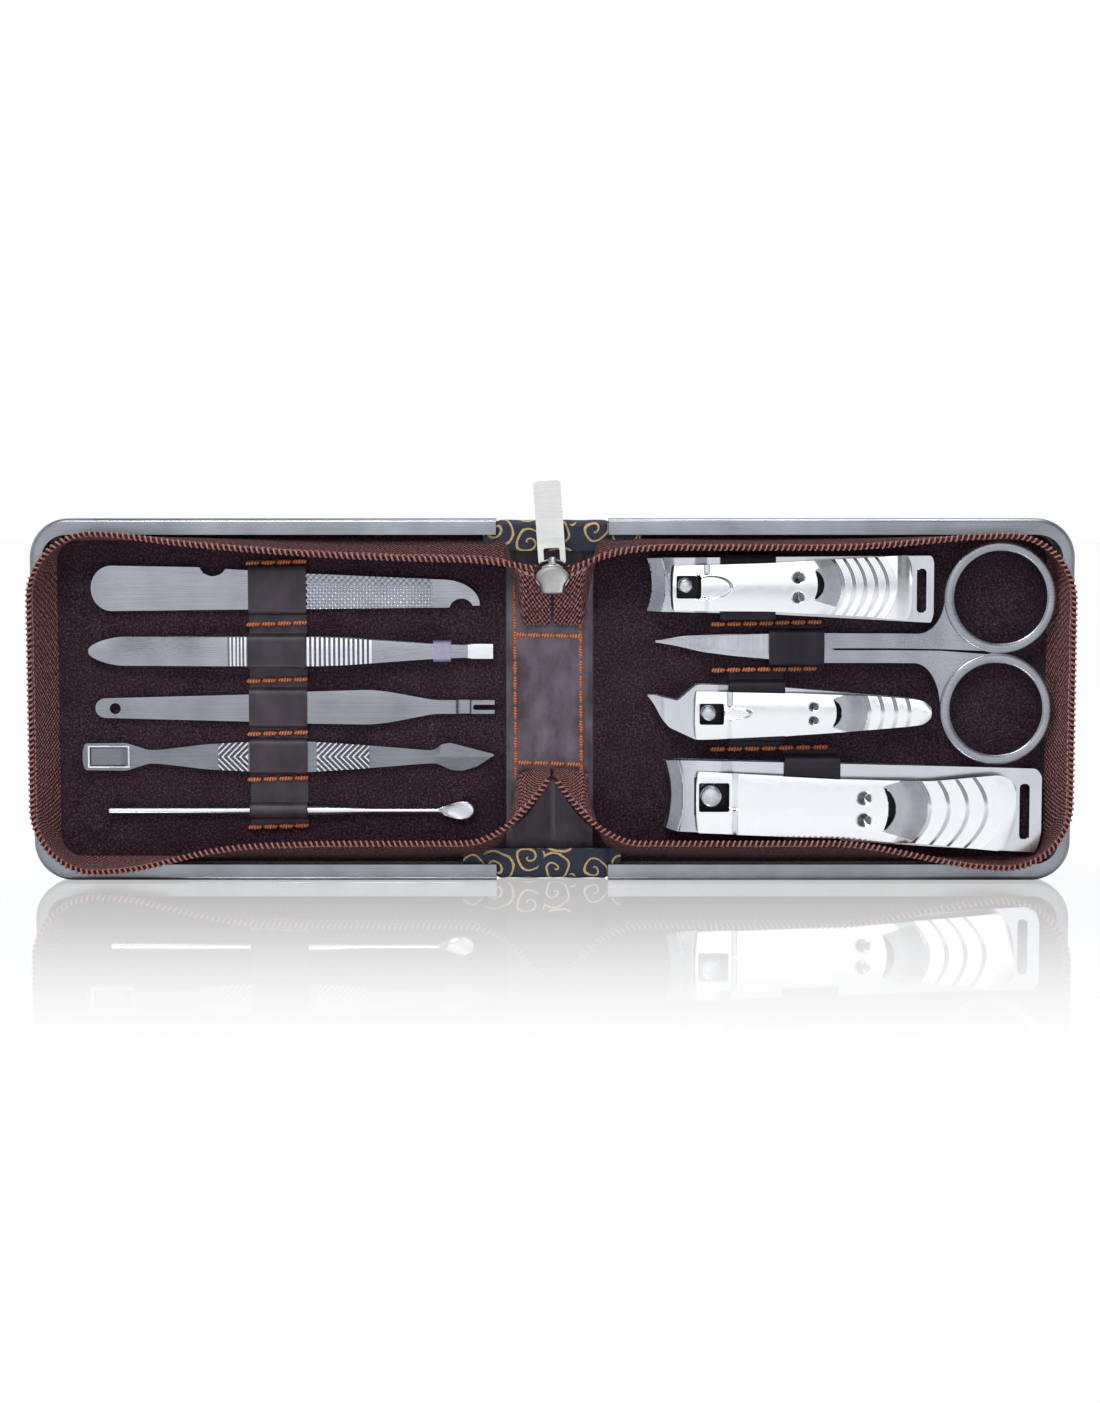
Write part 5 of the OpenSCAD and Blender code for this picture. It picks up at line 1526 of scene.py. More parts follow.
@dataclass
class Loops:
    """Loops of coated sheet sewn down between the tools."""

    sheet: float = 0.5
    gap: float = 0.3

    def arch(self, rows: tuple[float, float], tool: tuple[float, float], crown: float, samples: int = 90) -> Array:
        """Line of a loop from its lower row to its upper row as Z and Y.

        The sheet lies flat by the rows, climbs beside the tool and runs over it. Its corners are rounded by an
        average over a millimetre.

        Args:
            rows: heights of the two rows.
            tool: lowest and highest Z of the tool.
            crown: depth Y of the tool's front.
            samples: points on the line.

        Returns:
            Points as Z and Y of the sheet's middle.
        """
        lo, hi = rows
        a, b = tool
        flat = SIZES.floor_y - self.sheet / 2 + 0.1
        over = crown - self.gap - self.sheet / 2
        knots = np.array([(lo, flat), (max(a - 0.55, lo + 0.2), flat), (a - 0.35, over + 0.35), (a + 0.5, over - 0.05),
                          ((a + b) / 2, over - 0.25), (b - 0.5, over - 0.05), (b + 0.35, over + 0.35),
                          (min(b + 0.55, hi - 0.2), flat), (hi, flat)])
        run = travelled(knots)
        s = np.linspace(0, run[-1], samples)
        near = [np.clip(s + k, 0, run[-1]) for k in np.linspace(-0.4, 0.4, 7)]
        path = np.stack([np.mean([np.interp(k, run, knots[:, c]) for k in near], axis=0) for c in (0, 1)], 1)
        path[0], path[-1] = knots[0], knots[-1]
        return path

    def band(self, x0: float, x1: float, lines: Sequence[Array]) -> Shape:
        """Sheet along one or more lines, from x0 to x1, thin at its cut edges.

        Args:
            x0: its left edge.
            x1: its right edge.
            lines: lines as Z and Y, each of which begins where the last one ends.

        Returns:
            The closed sheet.
        """
        path = np.concatenate([line if k == 0 else line[1:] for k, line in enumerate(lines)])
        ahead = np.gradient(path, axis=0)
        normal = unit(stacked(-ahead[:, 1], ahead[:, 0]))
        u = np.linspace(0.0, 1.0, 22)
        x = x0 + (x1 - x0) * u
        lift = 0.05 * np.cos(2 * math.pi * u) - 0.05
        half = (self.sheet / 2) * (1 - 0.45 * np.abs(2 * u - 1) ** 8)
        upper = path[:, None, :] + (half + lift)[None, :, None] * -normal[:, None, :]
        lower = path[:, None, :] - half[None, :, None] * -normal[:, None, :]
        ring = np.concatenate([upper, lower[:, ::-1]], axis=1)
        return tube(stacked(np.concatenate([x, x[::-1]]), ring[..., 1], ring[..., 0]), travelled(path))

    def stitches(self, name: str, body: str, rows: Sequence[tuple[float, float, float, int]]) -> None:
        """Rows of stitches, each given as its start and end along X, its height and its number of stitches.

        Args:
            name: the piece's name.
            body: the body that it rides on.
            rows: the rows.
        """
        y = SIZES.floor_y - self.sheet - 0.3
        up = np.array([0.0, 0.0, 1.0])
        tilt = 0.25
        piece = Shape.join([stitch_row(np.array([a, y, z - tilt]), np.array([b, y, z + tilt]), up, n, 1.05)
                            for a, b, z, n in rows]).piece(name, THREAD.material(), "soft_sheet", 60.0)
        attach(piece, body)


@dataclass
class LeftLoops(Loops):
    """One band sewn down between the five tools of the left half."""

    x0: float = -66.2
    x1: float = -53.6

    def build(self) -> None:
        """Makes the band with its five arches and its six rows of stitches."""
        t = SIZES.tool_y
        rows = [11.2, 21.8, 32.0, 43.8, 55.75, 69.9]
        tools = [(13.9, 16.1, t - 2.4), (23.6, 30.2, t - 1.4), (33.9, 41.3, t - 1.4), (47.0, 53.2, t - 4.0),
                 (58.7, 68.2, t - 1.2)]
        lines = [self.arch((rows[k], rows[k + 1]), tools[k][:2], tools[k][2]) for k in range(5)]
        piece = self.band(self.x0, self.x1, lines).piece("left_band", BAND_SHEET.material(), "soft_sheet", 50.0)
        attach(piece, "left_half")
        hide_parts("left_loop_band")
        self.stitches("left_band_stitches", "left_half",
                      [(self.x0 - 0.8, self.x1 + 0.3, z, 4) for z in (11.4, 22.0, 32.0, 43.7, 56.0, 69.4)])
        LOG.info("left loops")


@dataclass
class RightLoops(Loops):
    """Four loops of the right half, one over each tool."""

    def build(self) -> None:
        """Makes each loop with its own arch, and the rows of stitches that they share."""
        t = SIZES.tool_y
        loops = {
            "small_loop": (36.4, (55.3, 71.95), (57.4, 70.75), t - 3.6),
            "scissors_loop": (47.1, (45.3, 55.6), (47.5, 54.1), t - 3.0),
            "cuticle_loop": (38.6, (28.8, 45.3), (30.95, 43.05), t - 3.7),
            "large_loop": (50.6, (6.6, 28.8), (8.0, 26.6), t - 5.2)}
        for name, (x0, rows, tool, crown) in loops.items():
            line = self.arch(rows, tool, crown)
            # The loops take the darker sheet: painted shade.
            piece = self.band(x0, x0 + 12.0, [line]).piece(f"{name}_sheet", SHADED_LOOP_SHEET.material(), "soft_sheet", 50.0)
            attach(piece, "right_half")
            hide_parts(name)
        self.stitches("right_loop_stitches", "right_half", [
            (34.4, 59.0, 56.15, 7), (34.6, 58.0, 46.0, 7), (34.4, 60.6, 28.7, 7)])
        LOG.info("right loops")


# ---------------------------------------------------------------- tools of the left half


@dataclass
class FlatTool:
    """Tool stamped from a strip: an outline with a front surface, standing at a place in its half."""

    x: float
    z: float
    thick: float

    def place(self, shape: Shape, name: str, body: str, node: str, finish: Finish, bevel: float = 0.12,
              slot: str = "satin_steel", painted_highlight: Field | None = None) -> None:
        """Moves a shape to the tool's place and makes it a piece that stands for a node; some faces can carry a painted
        highlight.

        Args:
            shape: the tool, drawn from its own start.
            name: the piece's name.
            body: the body that it rides on.
            node: the solid that it stands for.
            finish: its finish.
            bevel: width of its rounded edges.
            slot: its material slot.
            painted_highlight: test of the tool's own X and Z for faces that get a painted highlight.
        """
        others = [] if painted_highlight is None else [(CREST_HIGHLIGHT_STEEL.material(), lambda x, z: painted_highlight(x - self.x, z - self.z))]
        piece = shape.shifted(self.x, SIZES.tool_y, self.z).piece(name, finish.material(), slot, 32.0, bevel, others)
        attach(piece, body)
        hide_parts(node)
        LOG.info("%s: %d vertices", name, len(shape.verts))


@dataclass
class NailFile(FlatTool):
    """Nail file with a round end, a cross-hatched face and a hooked nail cleaner."""

    length: float = 84.7

    def build(self) -> None:
        """The upper edge falls slowly and then as a quarter oval to the hook's point."""
        l = self.length
        hook = 76.4
        ends = (0, 4.6, l + 60, 1)
        past = lambda x: (x - hook) / (l - hook)
        top = capped([(0, 5.0), (23, 4.6), (31, 4.1), (47, 3.2), (hook, 1.9), (l, 1.9)], 1.2, *ends)
        under = capped([(0, -4.95), (31, -4.6), (76, -4.15)], 1.0, *ends)
        high = lambda x: np.where(x > hook, -3.6 + 5.5 * np.sqrt(np.clip(1 - past(x) ** 2, 0, 1)), top(x)) + 0.03
        low = lambda x: np.where(x > hook, -4.15 + 0.45 * smooth_step(past(x)), under(x)) - 0.03
        hatch = lambda x, z: np.abs(np.sin((x + z) * math.pi / 1.35)) + np.abs(np.sin((x - z) * math.pi / 1.35)) - 1.2
        zone = lambda x: plateau(x, 46.2, 74.8, 0.8, 0.8)
        front = lambda x, z: -self.thick + 0.03 - 0.1 * hatch(x, z) * zone(x) + 0.1 * smooth_step((x - 74) / 10)
        shape = slab(stations(0, l, 0.24, 3.0, [(46, 75, 0.15)]), low, high, 56, front, constant(0.0),
                     [circle_hole(26.6, 5.0, 2.9, 0.8), circle_hole(80.7, -4.9, 2.7), circle_hole(83.5, -5.5, 1.5)])
        self.place(shape, "file_blade", "file", "nail_file", SATIN_STEEL, 0.16)


@dataclass
class Tweezers(FlatTool):
    """Tweezers of two sprung arms joined at the round end, with a clear sleeve on the tip."""

    length: float = 88.2
    arm: float = 1.0
    spread: float = 2.0

    def outline(self) -> tuple[Profile, Profile]:
        """Lower and upper edge of both arms: full width to the grip, then a taper to a square tip.

        Returns:
            Both edges as functions of the place along the arm.
        """
        high = capped([(0, 2.6), (7, 3.15), (50, 3.15), (56, 2.95), (74, 1.7), (82.5, 1.35), (83.5, 1.6), (90, 1.6)],
                      0.8, -0.1, 7.5, self.length + 40, 1)
        return (lambda x: -high(x)), high

    def build(self) -> None:
        """The front arm bows out from the joint, comes back to the tip, and carries the ridges of the grip."""
        low, high = self.outline()
        xs = stations(0.0, self.length, 0.3, 2.0, [(30.0, 35.0, 0.11), (45.8, 62.2, 0.104)])
        bow = soft([(0, 0.1), (6, 0.1), (26, 2.0), (54, 2.0), (72, 0.9), (83, 0.7), (90, 0.7)], 3.0)
        # Start, stop, pitch, share of the groove and depth of each zone of ridges.
        grips = ((46.2, 61.8, 1.04, 0.5, 0.34), (30.6, 34.6, 0.8, 0.55, 0.2))
        beat = lambda x, a, pitch: ((x - a) / pitch) % 1.0
        cut = lambda part, share: 0.5 - 0.5 * np.cos(2 * math.pi * np.clip(part, 0.0, share) / share)
        ridge = lambda x: sum(deep * cut(beat(x, a, pitch), share) * (x > a) * (x < b)
                              for a, b, pitch, share, deep in grips)
        # Crests of the ridges and the tip get the painted highlight.
        crest = lambda x, z: sum(((beat(x, a, pitch) > share) & (x > a) & (x < b)
                                  for a, b, pitch, share, _ in grips), x > 82.6) > 0
        back_arm = slab(xs, low, high, 26, constant(-self.arm), constant(0.0))
        front_arm = slab(xs, low, high, 26,
                         lambda x, z: -2 * self.arm - bow(x) + ridge(x) + 0.12 * (z / 3.2) ** 2,
                         lambda x, z: -self.arm - bow(x))
        self.place(back_arm, "tweezers_back", "tweezers", "tweezers_back_arm", SATIN_STEEL, 0.12)
        self.place(front_arm, "tweezers_front_strip", "tweezers_front", "tweezers_front_arm", SATIN_STEEL, 0.1,
                   painted_highlight=crest)
        self.sleeve()

    def sleeve(self) -> None:
        """Clear sleeve: a rectangular tube with round corners and a wall of 0.4 mm."""
        wide, deep = squared(circle(48), 0.35)
        wall = ((75.2, 0.0), (79.0, 0.0), (79.0, -0.38), (75.2, -0.38))
        verts = np.concatenate([stacked(x, -1.55 + (1.85 + grow) * deep, (2.3 + grow) * wide) for x, grow in wall])
        shape = Shape(verts, grid_faces(4, 48, wrap_rows=True, wrap_columns=True)).outward()
        self.place(shape, "tip_sleeve", "guard", "tweezers_guard", SLEEVE, 0.0, "clear_plastic")


@dataclass
class Trimmer(FlatTool):
    """Cuticle trimmer: a long drop-shaped strip with a hanging hole and a forked tip."""

    length: float = 87.2

    def build(self) -> None:
        """The strip widens to its middle, narrows fast, and ends in a fork ground hollow at its root."""
        l = self.length
        ends = (-0.05, 2.2, l + 0.9, 0.9)
        high = capped([(0, 2.1), (33, 2.95), (46, 3.6), (60, 4.0), (64, 3.6), (74, 1.75), (l, 1.75)], 1.5, *ends)
        low = capped([(0, -2.1), (33, -2.95), (46, -3.4), (60, -3.6), (64, -3.2), (74, -1.25), (l, -1.25)], 1.5, *ends)
        hollow = lambda x: 0.8 * plateau(x, 78.6, 82.2, 0.9, 0.5)
        front = lambda x, z: -self.thick + hollow(x) + 0.1 * (z / 4) ** 2
        slot = box_hole(l - 4.7, l + 2.0, -0.4, 0.75, 0.5)
        shape = slab(stations(0, l, 0.2, 1.5), low, high, 42, front, constant(0.0),
                     [circle_hole(4.3, -0.1, 1.2), slot])
        self.place(shape, "trimmer_strip", "trimmer", "cuticle_trimmer", TRIM_STEEL, 0.12)


@dataclass
class Pusher(FlatTool):
    """Cuticle pusher: a paddle with a sunk face, a handle with cut chevrons, and a leaf-shaped blade."""

    length: float = 90.0

    def build(self) -> None:
        """Chevrons are grooves where the distance along the handle plus that from its middle is a whole pitch."""
        l = self.length
        half = [(0, 2.9), (9.6, 3.0), (14.4, 1.45), (17, 1.5), (27, 2.7), (38, 3.3), (46, 3.4), (50, 3.3), (62, 2.5),
                (75, 1.45)]
        ends = (-0.05, 1.0, l + 0.1, 0.5)
        upper = capped(half + [(76.8, 1.4), (78.6, 2.7), (80.4, 3.0), (l, 0.5)], 0.5, *ends)
        under = capped(half + [(77.4, 1.4), (80.6, 2.9), (83.2, 3.1), (86.4, 2.1), (l, -0.3)], 0.6, *ends)
        low, high = (lambda x: -under(x) - 0.04), (lambda x: upper(x) + 0.04)
        wave = lambda x, z: np.cos((x - np.abs(z)) * 2 * math.pi / 1.3)
        zone = lambda x: plateau(x, 29.5, 36.5, 0.5, 0.5) + plateau(x, 51.0, 63.0, 0.5, 0.5)
        sunk = lambda x, z: 0.5 * plateau(x, 1.5, 10.6, 0.35, 2.5) * smooth_step((2.15 - np.abs(z)) / 0.35)
        # The paddle's frame and the flats between the chevrons get the painted highlight.
        frame_line = lambda x, z: ((x > 1.2) & (x < 10.2) & (np.abs(z) < 2.4)
                                   & ~((x > 1.5) & (x < 9.9) & (np.abs(z) < 2.1)))
        lines = lambda x, z: ((wave(x, z) < -0.72) & (zone(x) > 0.5)) | frame_line(x, z)
        leaf = lambda x, z: smooth_step((x - 76.5) / 2.0) * (0.45 * np.abs(z) / 3.2 + 0.35 * (x - 76) / 14)
        front = lambda x, z: -self.thick + sunk(x, z) + 0.2 * np.clip(wave(x, z), -0.2, 1) ** 2 * zone(x) + leaf(x, z)
        fine = [(1, 3, 0.12), (9.4, 11, 0.12), (29, 37, 0.13), (50.5, 63.5, 0.13)]
        shape = slab(stations(0, l, 0.26, 1.2, fine), low, high, 56, front, constant(0.0))
        self.place(shape, "pusher_strip", "pusher", "cuticle_pusher", WORN_STEEL, 0.15, painted_highlight=lines)


@dataclass
class EarPick(FlatTool):
    """Ear pick: a thin rod, thicker at the grip, that ends in a small scoop."""

    length: float = 80.4

    def build(self) -> None:
        """Rings along the rod; over the scoop they spread sideways and their front sinks."""
        l = self.length
        x = stations(0, l, 0.35, 2.0)
        r = soft([(0, 0.75), (30, 0.75), (37, 1.1), (47, 1.1), (57, 0.6), (72, 0.6), (l, 0.6)], 1.0)(x)
        t = np.clip((x - (l - 8.2)) / 8.2, 0, 1)
        bowl = np.sin(np.pi * np.clip(t, 0, 1) ** 0.72) ** 0.6
        wide = soft([(l - 8.2, 0.6), (l - 7.2, 0.75), (l - 5.4, 1.5), (l - 3.4, 2.0), (l, 2.0)], 0.5)(x)
        width = np.where(t > 0, wide, r) * end_cap(x, -0.02, 0.5, l + 0.02, 2.3) + 0.03
        depth = r * (1 - 0.35 * smooth_step(t * 3)) * end_cap(x, -0.02, 0.5, l + 0.02, 0.4) + 0.02
        a = circle(28)
        sunk = 0.75 * bowl ** 2 * smooth_step(t * 3)
        dip = sunk[:, None] * np.clip(1 - (np.cos(a) / 0.86) ** 2, 0, 1) ** 0.7 * (np.sin(a) < 0)
        y = depth[:, None] * np.sin(a) + dip * depth[:, None] * 1.5 - 1.25
        ring = stacked(x[:, None], y, width[:, None] * np.cos(a))
        self.place(tube(ring, x), "pick_rod", "pick", "ear_pick", ROD_STEEL, 0.0)


# ---------------------------------------------------------------- clippers and scissors


def turned(x: float, rows: Sequence[tuple[float, float]]) -> Shape:
    """Solid of revolution along Y about x, from pairs of height and radius.

    Args:
        x: place of its axis.
        rows: height towards the viewer and radius of each ring.

    Returns:
        The closed shape.
    """
    a, table = circle(36), np.array(rows)[:, :, None]
    return tube(stacked(x + table[:, 1] * np.cos(a), -table[:, 0], table[:, 1] * np.sin(a)))


@dataclass
class Clipper:
    """Clipper: two sprung leaves, a rivet that joins them, and a lever on a post. Heights count towards the viewer.

    Places on the lever count from the pin. The window and the slot are left, right, low and high. The tongue is its X,
    half width and half length, and the eyes are their X and Z, radius and half distance. The smile is its right side,
    its Z, half height and sag, and the ribs are the first one's place, their pitch and their number.
    """

    key: str
    x: float
    z: float
    length: float
    jaw_h: float
    leaf_t: float
    pin_x: float
    pin_r: float
    rivet_x: float
    low: Profile
    high: Profile
    lever_low: Profile
    lever_high: Profile
    lever_end: float
    back: float
    window: tuple[float, float, float, float]
    tongue: tuple[float, float, float]
    eyes: tuple[float, float, float, float]
    smile: tuple[float, float, float, float]
    smile_t: float
    ribs: tuple[float, float, int]
    slot: tuple[float, float, float, float] | None
    nose: float
    lever_t: float = 1.1
    lever_gap: float = 0.4
    bite: float = 1.4
    tail_gap: float = 0.15
    rivet_r: float = 1.2
    bend: float = 0.0
    hollow: float = 0.0

    def build(self) -> None:
        """Makes the leaves, the rivet, the post and the lever."""
        self.leaves()
        self.pins()
        self.lever()
        LOG.info("%s clipper", self.key)

    def under_lever_shade(self, x: Array, z: Array) -> Array:
        """True on the leaves behind the lever's window and crescent, where they are painted dark as shade.

        Args:
            x: places along X.
            z: heights.

        Returns:
            The test at each place.
        """
        u, v = x - self.x - self.pin_x, z - self.z
        wx0, wx1, wz0, wz1 = self.window
        right, sz, h, sag = self.smile
        behind_window = (u > wx0 - 0.9) & (u < wx1 + 0.9) & (v > wz0 - 0.9) & (v < wz1 + 0.9)
        return behind_window | ((u > right - sag - 0.8) & (u < right + 0.9) & (np.abs(v - sz) < h + 0.5))

    def bevelled(self, x: Array, z: Array) -> Array:
        """True on the ground bevel at the jaws, which follows their hollow edge."""
        hollow = self.hollow * (1 - np.clip((z - self.z) / self.nose, -1.0, 1.0) ** 2)
        return x - self.x < hollow + (2.9 if self.hollow else 0.0)

    def pitted(self, x: Array, z: Array) -> Array:
        """True inside the two dimples of the lever, which are painted darker as shade.

        Args:
            x: places along X.
            z: heights.

        Returns:
            The test at each place.
        """
        ex, ez, er, eo = self.eyes
        u, v = x - self.x - self.pin_x - ex, z - self.z - ez
        return np.minimum(np.hypot(u, 1.1 * (v - eo)), np.hypot(u, 1.1 * (v + eo))) < 0.86 * er

    def blasted(self, x: Array, z: Array) -> Array:
        """True on the matt field of the lever, from the crescent to the first rib, wider towards the ribs.

        Args:
            x: places along X.
            z: heights.

        Returns:
            The test at each place.
        """
        right, sz, h, sag = self.smile
        u, v = x - self.x - self.pin_x, z - self.z
        r = (h * h + sag * sag) / (2 * sag)
        arc = u + (v - self.eyes[1]) ** 2 / 16.0
        return ((u > right - sag) & (np.hypot(u - right + r, v - sz) > r) & (arc < self.ribs[0] - 0.9)
                & (np.abs(v - sz) < h + 0.3 * (u - right + sag)))

    def add(self, shape: Shape, name: str, body: str, node: str, finish: Finish, slot: str,
            bevel: float = 0.12, others: Sequence[tuple[Material, Field]] = ()) -> None:
        """Moves a shape to the clipper's place and makes it a piece that stands for a node.

        Args:
            shape: the shape, drawn from the clipper's jaws.
            name: the piece's name, less the clipper's.
            body: the body's name, less the clipper's.
            node: the solid's name, less the clipper's.
            finish: its finish.
            slot: its material slot.
            bevel: width of its rounded edges.
            others: further finishes, each with its test of X and Z.
        """
        piece = shape.shifted(self.x, SIZES.tool_y, self.z).piece(
            f"{self.key}_{name}", finish.material(), slot, 32.0, bevel, others)
        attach(piece, f"{self.key}_{body}")
        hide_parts(f"{self.key}_{node}")

    def leaves(self) -> None:
        """Side line of both leaves: flat at the back, wide apart at the jaws, touching at the tail."""
        t, h, l, b = self.leaf_t, self.jaw_h, self.length, self.bite
        flat = self.pin_x + 2.2
        mid = 0.55 * l
        shut = t + self.tail_gap
        top = soft([(0, (h + b) / 2 + 0.15), (0.35, h - 1.3), (3.1, h), (self.pin_x - self.back + 0.4, h - 0.55),
                    (flat, h - 0.55), (flat + 2.6, h - 1.3), (mid, t + shut + 1), (l - 14, t + shut),
                    (l, t + shut)], 0.12)
        under = soft([(0, (h + b) / 2), (1.2, (h + b) / 2), (1.8, h - 1.6 - t / 3), (2.9, h - t - 0.3), (4.2, h - t),
                      (flat, h - t - 0.4), (flat + 2.6, h - 1.3 - t), (mid, shut + 1), (l - 14, shut), (l, shut)], 0.2)
        floor_top = soft([(0, (h - b) / 2), (1.2, (h - b) / 2), (1.9, t + 0.2), (3.2, t), (l, t)], 0.2)
        floor_low = soft([(0, (h - b) / 2 - 0.2), (0.9, 0.4), (2.6, 0.0), (l, 0.0)], 0.2)
        wx0, wx1, wz0, wz1 = self.window
        bow = (self.nose ** 2 + self.hollow ** 2) / (2 * self.hollow) if self.hollow else 0.0
        bite = [circle_hole(self.hollow - bow, 0.0, bow)] if self.hollow else []
        holes = bite + [box_hole(self.pin_x + wx0 - 0.3, self.pin_x + wx1 - 0.2, wz0, wz1, 1.2)]
        slot = [box_hole(*self.slot, 0.9)] if self.slot else []
        xs = stations(0.0, l, 0.28, 2.2, [(2.4, 4.0, 0.12)])
        dish = lambda x, z: -self.hollow * (1 - np.clip(z / self.nose, -1.0, 1.0) ** 2) * smooth_step((6.5 - x) / 3.0)
        bead = lambda x: 0.14 * np.exp(-((x - 3.1) / 0.2) ** 2)
        upper = slab(xs, self.low, self.high, 48, lambda x, z: -top(x + dish(x, z)) - bead(x + dish(x, z)),
                     lambda x, z: -under(x + dish(x, z)), holes + slot)
        lower = slab(xs, self.low, self.high, 48, lambda x, z: -floor_top(x), lambda x, z: -floor_low(x),
                     bite + [circle_hole(self.pin_x, 0, self.pin_r + 0.05)] + slot)
        # Painted shade under the lever's window and crescent, and the ground bevel at the jaws.
        shade_and_bevel = [(UNDER_LEVER_SHADE_STEEL.material(), self.under_lever_shade), (CROSS_STEEL.material(), self.bevelled)]
        self.add(upper, "upper_leaf", "jaw", "upper_jaw", BODY_STEEL, "satin_steel", 0.14, shade_and_bevel)
        self.add(lower, "lower_leaf", "clipper", "lower_jaw", BODY_STEEL, "satin_steel", 0.1, shade_and_bevel)

    def pins(self) -> None:
        """Rivet with a low head, and post with a foot, a shaft, a neck for the lever and a bevelled head."""
        t, r, h = self.leaf_t, self.pin_r, self.jaw_h
        neck = h + self.lever_gap - 0.2
        head = neck + self.lever_t + 0.4
        post = turned(self.pin_x, [
            (0, r + 0.35), (0.1, r + 0.5), (0.5, r + 0.5), (0.52, r), (neck, r), (neck + 0.02, r - 0.4),
            (head, r - 0.4), (head + 0.02, r - 0.1), (head + 0.15, r), (head + 0.5, r), (head + 0.75, r - 0.2),
            (head + 0.88, r - 0.6), (head + 0.92, 0.15)])
        rivet = turned(self.rivet_x, [
            (0, self.rivet_r - 0.15), (0.1, self.rivet_r), (2 * t + 0.25, self.rivet_r),
            (2 * t + 0.26, self.rivet_r + 0.5), (2 * t + 0.45, self.rivet_r + 0.45), (2 * t + 0.62, self.rivet_r)])
        self.add(post, "turned_post", "swivel", "post", PIN_STEEL, "pin_steel", 0.0)
        self.add(rivet, "tail_rivet", "clipper", "rivet", PIN_STEEL, "pin_steel", 0.0)

    def lever(self) -> None:
        """Lever as a strip with a slight crown, bent up at a crease and down before its ribs.

        Each rib rises slowly and falls fast, like a saw's tooth. Their pattern reads the distance along the strip
        plus the square of the height over twice 8 mm, so that they are arcs of 8 mm radius.
        """
        start, pitch, count = self.ribs
        tx, tw, tl = self.tongue
        ex, ez, er, eo = self.eyes
        x0, x1 = -self.back, self.lever_end
        h = self.jaw_h + self.lever_gap
        mid = lambda x: (self.lever_low(x) + self.lever_high(x)) / 2
        half = lambda x: (self.lever_high(x) - self.lever_low(x)) / 2

        def relief(x: Array, z: Array) -> Array:
            """Height of the front over the plain strip.

            Args:
                x: places along the lever.
                z: heights.

            Returns:
                The height at each place, towards the viewer.
            """
            dz = z - ez
            v = (z - mid(x)) / half(x)
            arc = x + dz ** 2 / 16.0
            phase = (arc - start) / pitch
            beat = phase % 1.0
            fall = 0.9 / pitch
            saw = np.where(beat < 1.0 - fall, 1.0 - beat / (1.0 - fall), (beat - 1.0 + fall) / fall)
            ribs = 0.3 * saw * (phase > -fall) * (phase < count - fall)
            drop = 0.8 * smooth_step((arc - start + 5.4) / 5.2)
            last = self.bend * smooth_step((x - x1 + 3.6) / 3.2)
            oval = np.hypot((x - tx) * tw / tl, dz)
            tongue = 0.32 * smooth_step((tw - oval) / 0.3) * (x > self.window[1] - 0.2)
            crease = 0.7 * smooth_step((x - self.window[1] + 1.4 - 1.9 * smooth_step((np.abs(dz) - tw) / 0.4)) / 1.5)
            dent = sum(np.clip(1.0 - np.hypot(x - ex, (dz - k * eo) * 1.1) / er, 0.0, 1.0) for k in (-1.0, 1.0))
            return 0.2 * (1 - v ** 2) + tongue + crease - dent * 0.95 - ribs - drop - last - 0.4

        rise = lambda x, z: -h - self.lever_t - relief(x, z)
        wx0, wx1, wz0, wz1 = self.window
        fine = [(wx1 - 1.0, wx1 + 2.2, 0.14), (ex - er - 0.2, ex + er + 0.2, 0.14), (start - 0.5, x1 - 0.5, 0.17)]
        shape = slab(stations(x0, x1, 0.26, 1.4, fine), self.lever_low, self.lever_high, 76, rise,
                     lambda x, z: np.full_like(x, -h + 0.1) - 0.15 * smooth_step((x - wx1) / 1.5)
                     + 0.15 * smooth_step((x - start + 5.0) / 5.0),
                     [box_hole(wx0, wx1, wz0, wz1, 0.45), crescent_hole(*self.smile, self.smile_t)])
        # Dimples get painted shade; the field beside the crescent gets a bead-blasted matt finish.
        self.add(shape.shifted(self.pin_x, 0, 0), "lever_plate", "lever_arm", "lever", BRIGHT_STEEL,
                 "polished_steel", 0.14, [(DIMPLE_SHADE_STEEL.material(), self.pitted), (MATTE_STEEL.material(), self.blasted)])


def small_clipper() -> Clipper:
    """Finger nail clipper with a square tail.

    Returns:
        Its sizes; outlines are pairs of place and height.
    """
    ends, lever_ends = (-2.5, 2.0, 62.8, 1.2), (-2.75, 0.5, 49.4, 1.8)
    return Clipper(
        "small", 20.5, 64.6, length=62.4, jaw_h=4.7, leaf_t=1.1, pin_x=8.2, pin_r=1.5, rivet_x=54.0,
        low=capped([(0, -5.6), (3, -5.75), (28, -6.4), (62.4, -8.3)], 0.8, *ends),
        high=capped([(0, 5.75), (3, 5.85), (62.4, 6.3)], 0.5, *ends),
        lever_low=capped([(-3, -5.5), (18, -5.6), (38, -6.7), (50, -7.8)], 1.5, *lever_ends),
        lever_high=capped([(-3, 4.2), (18, 4.8), (50, 6.6)], 1.5, *lever_ends),
        lever_end=49.1, back=2.7, window=(-1.9, 3.4, -2.85, 2.1), tongue=(5.6, 2.5, 4.6),
        eyes=(24.4, -0.4, 1.5, 2.15), smile=(30.0, 0.1, 3.3, 2.3), smile_t=1.5, ribs=(34.6, 2.4, 5),
        slot=(58.7, 60.8, -6.1, 3.5), nose=5.8, bend=0.7, hollow=1.1)


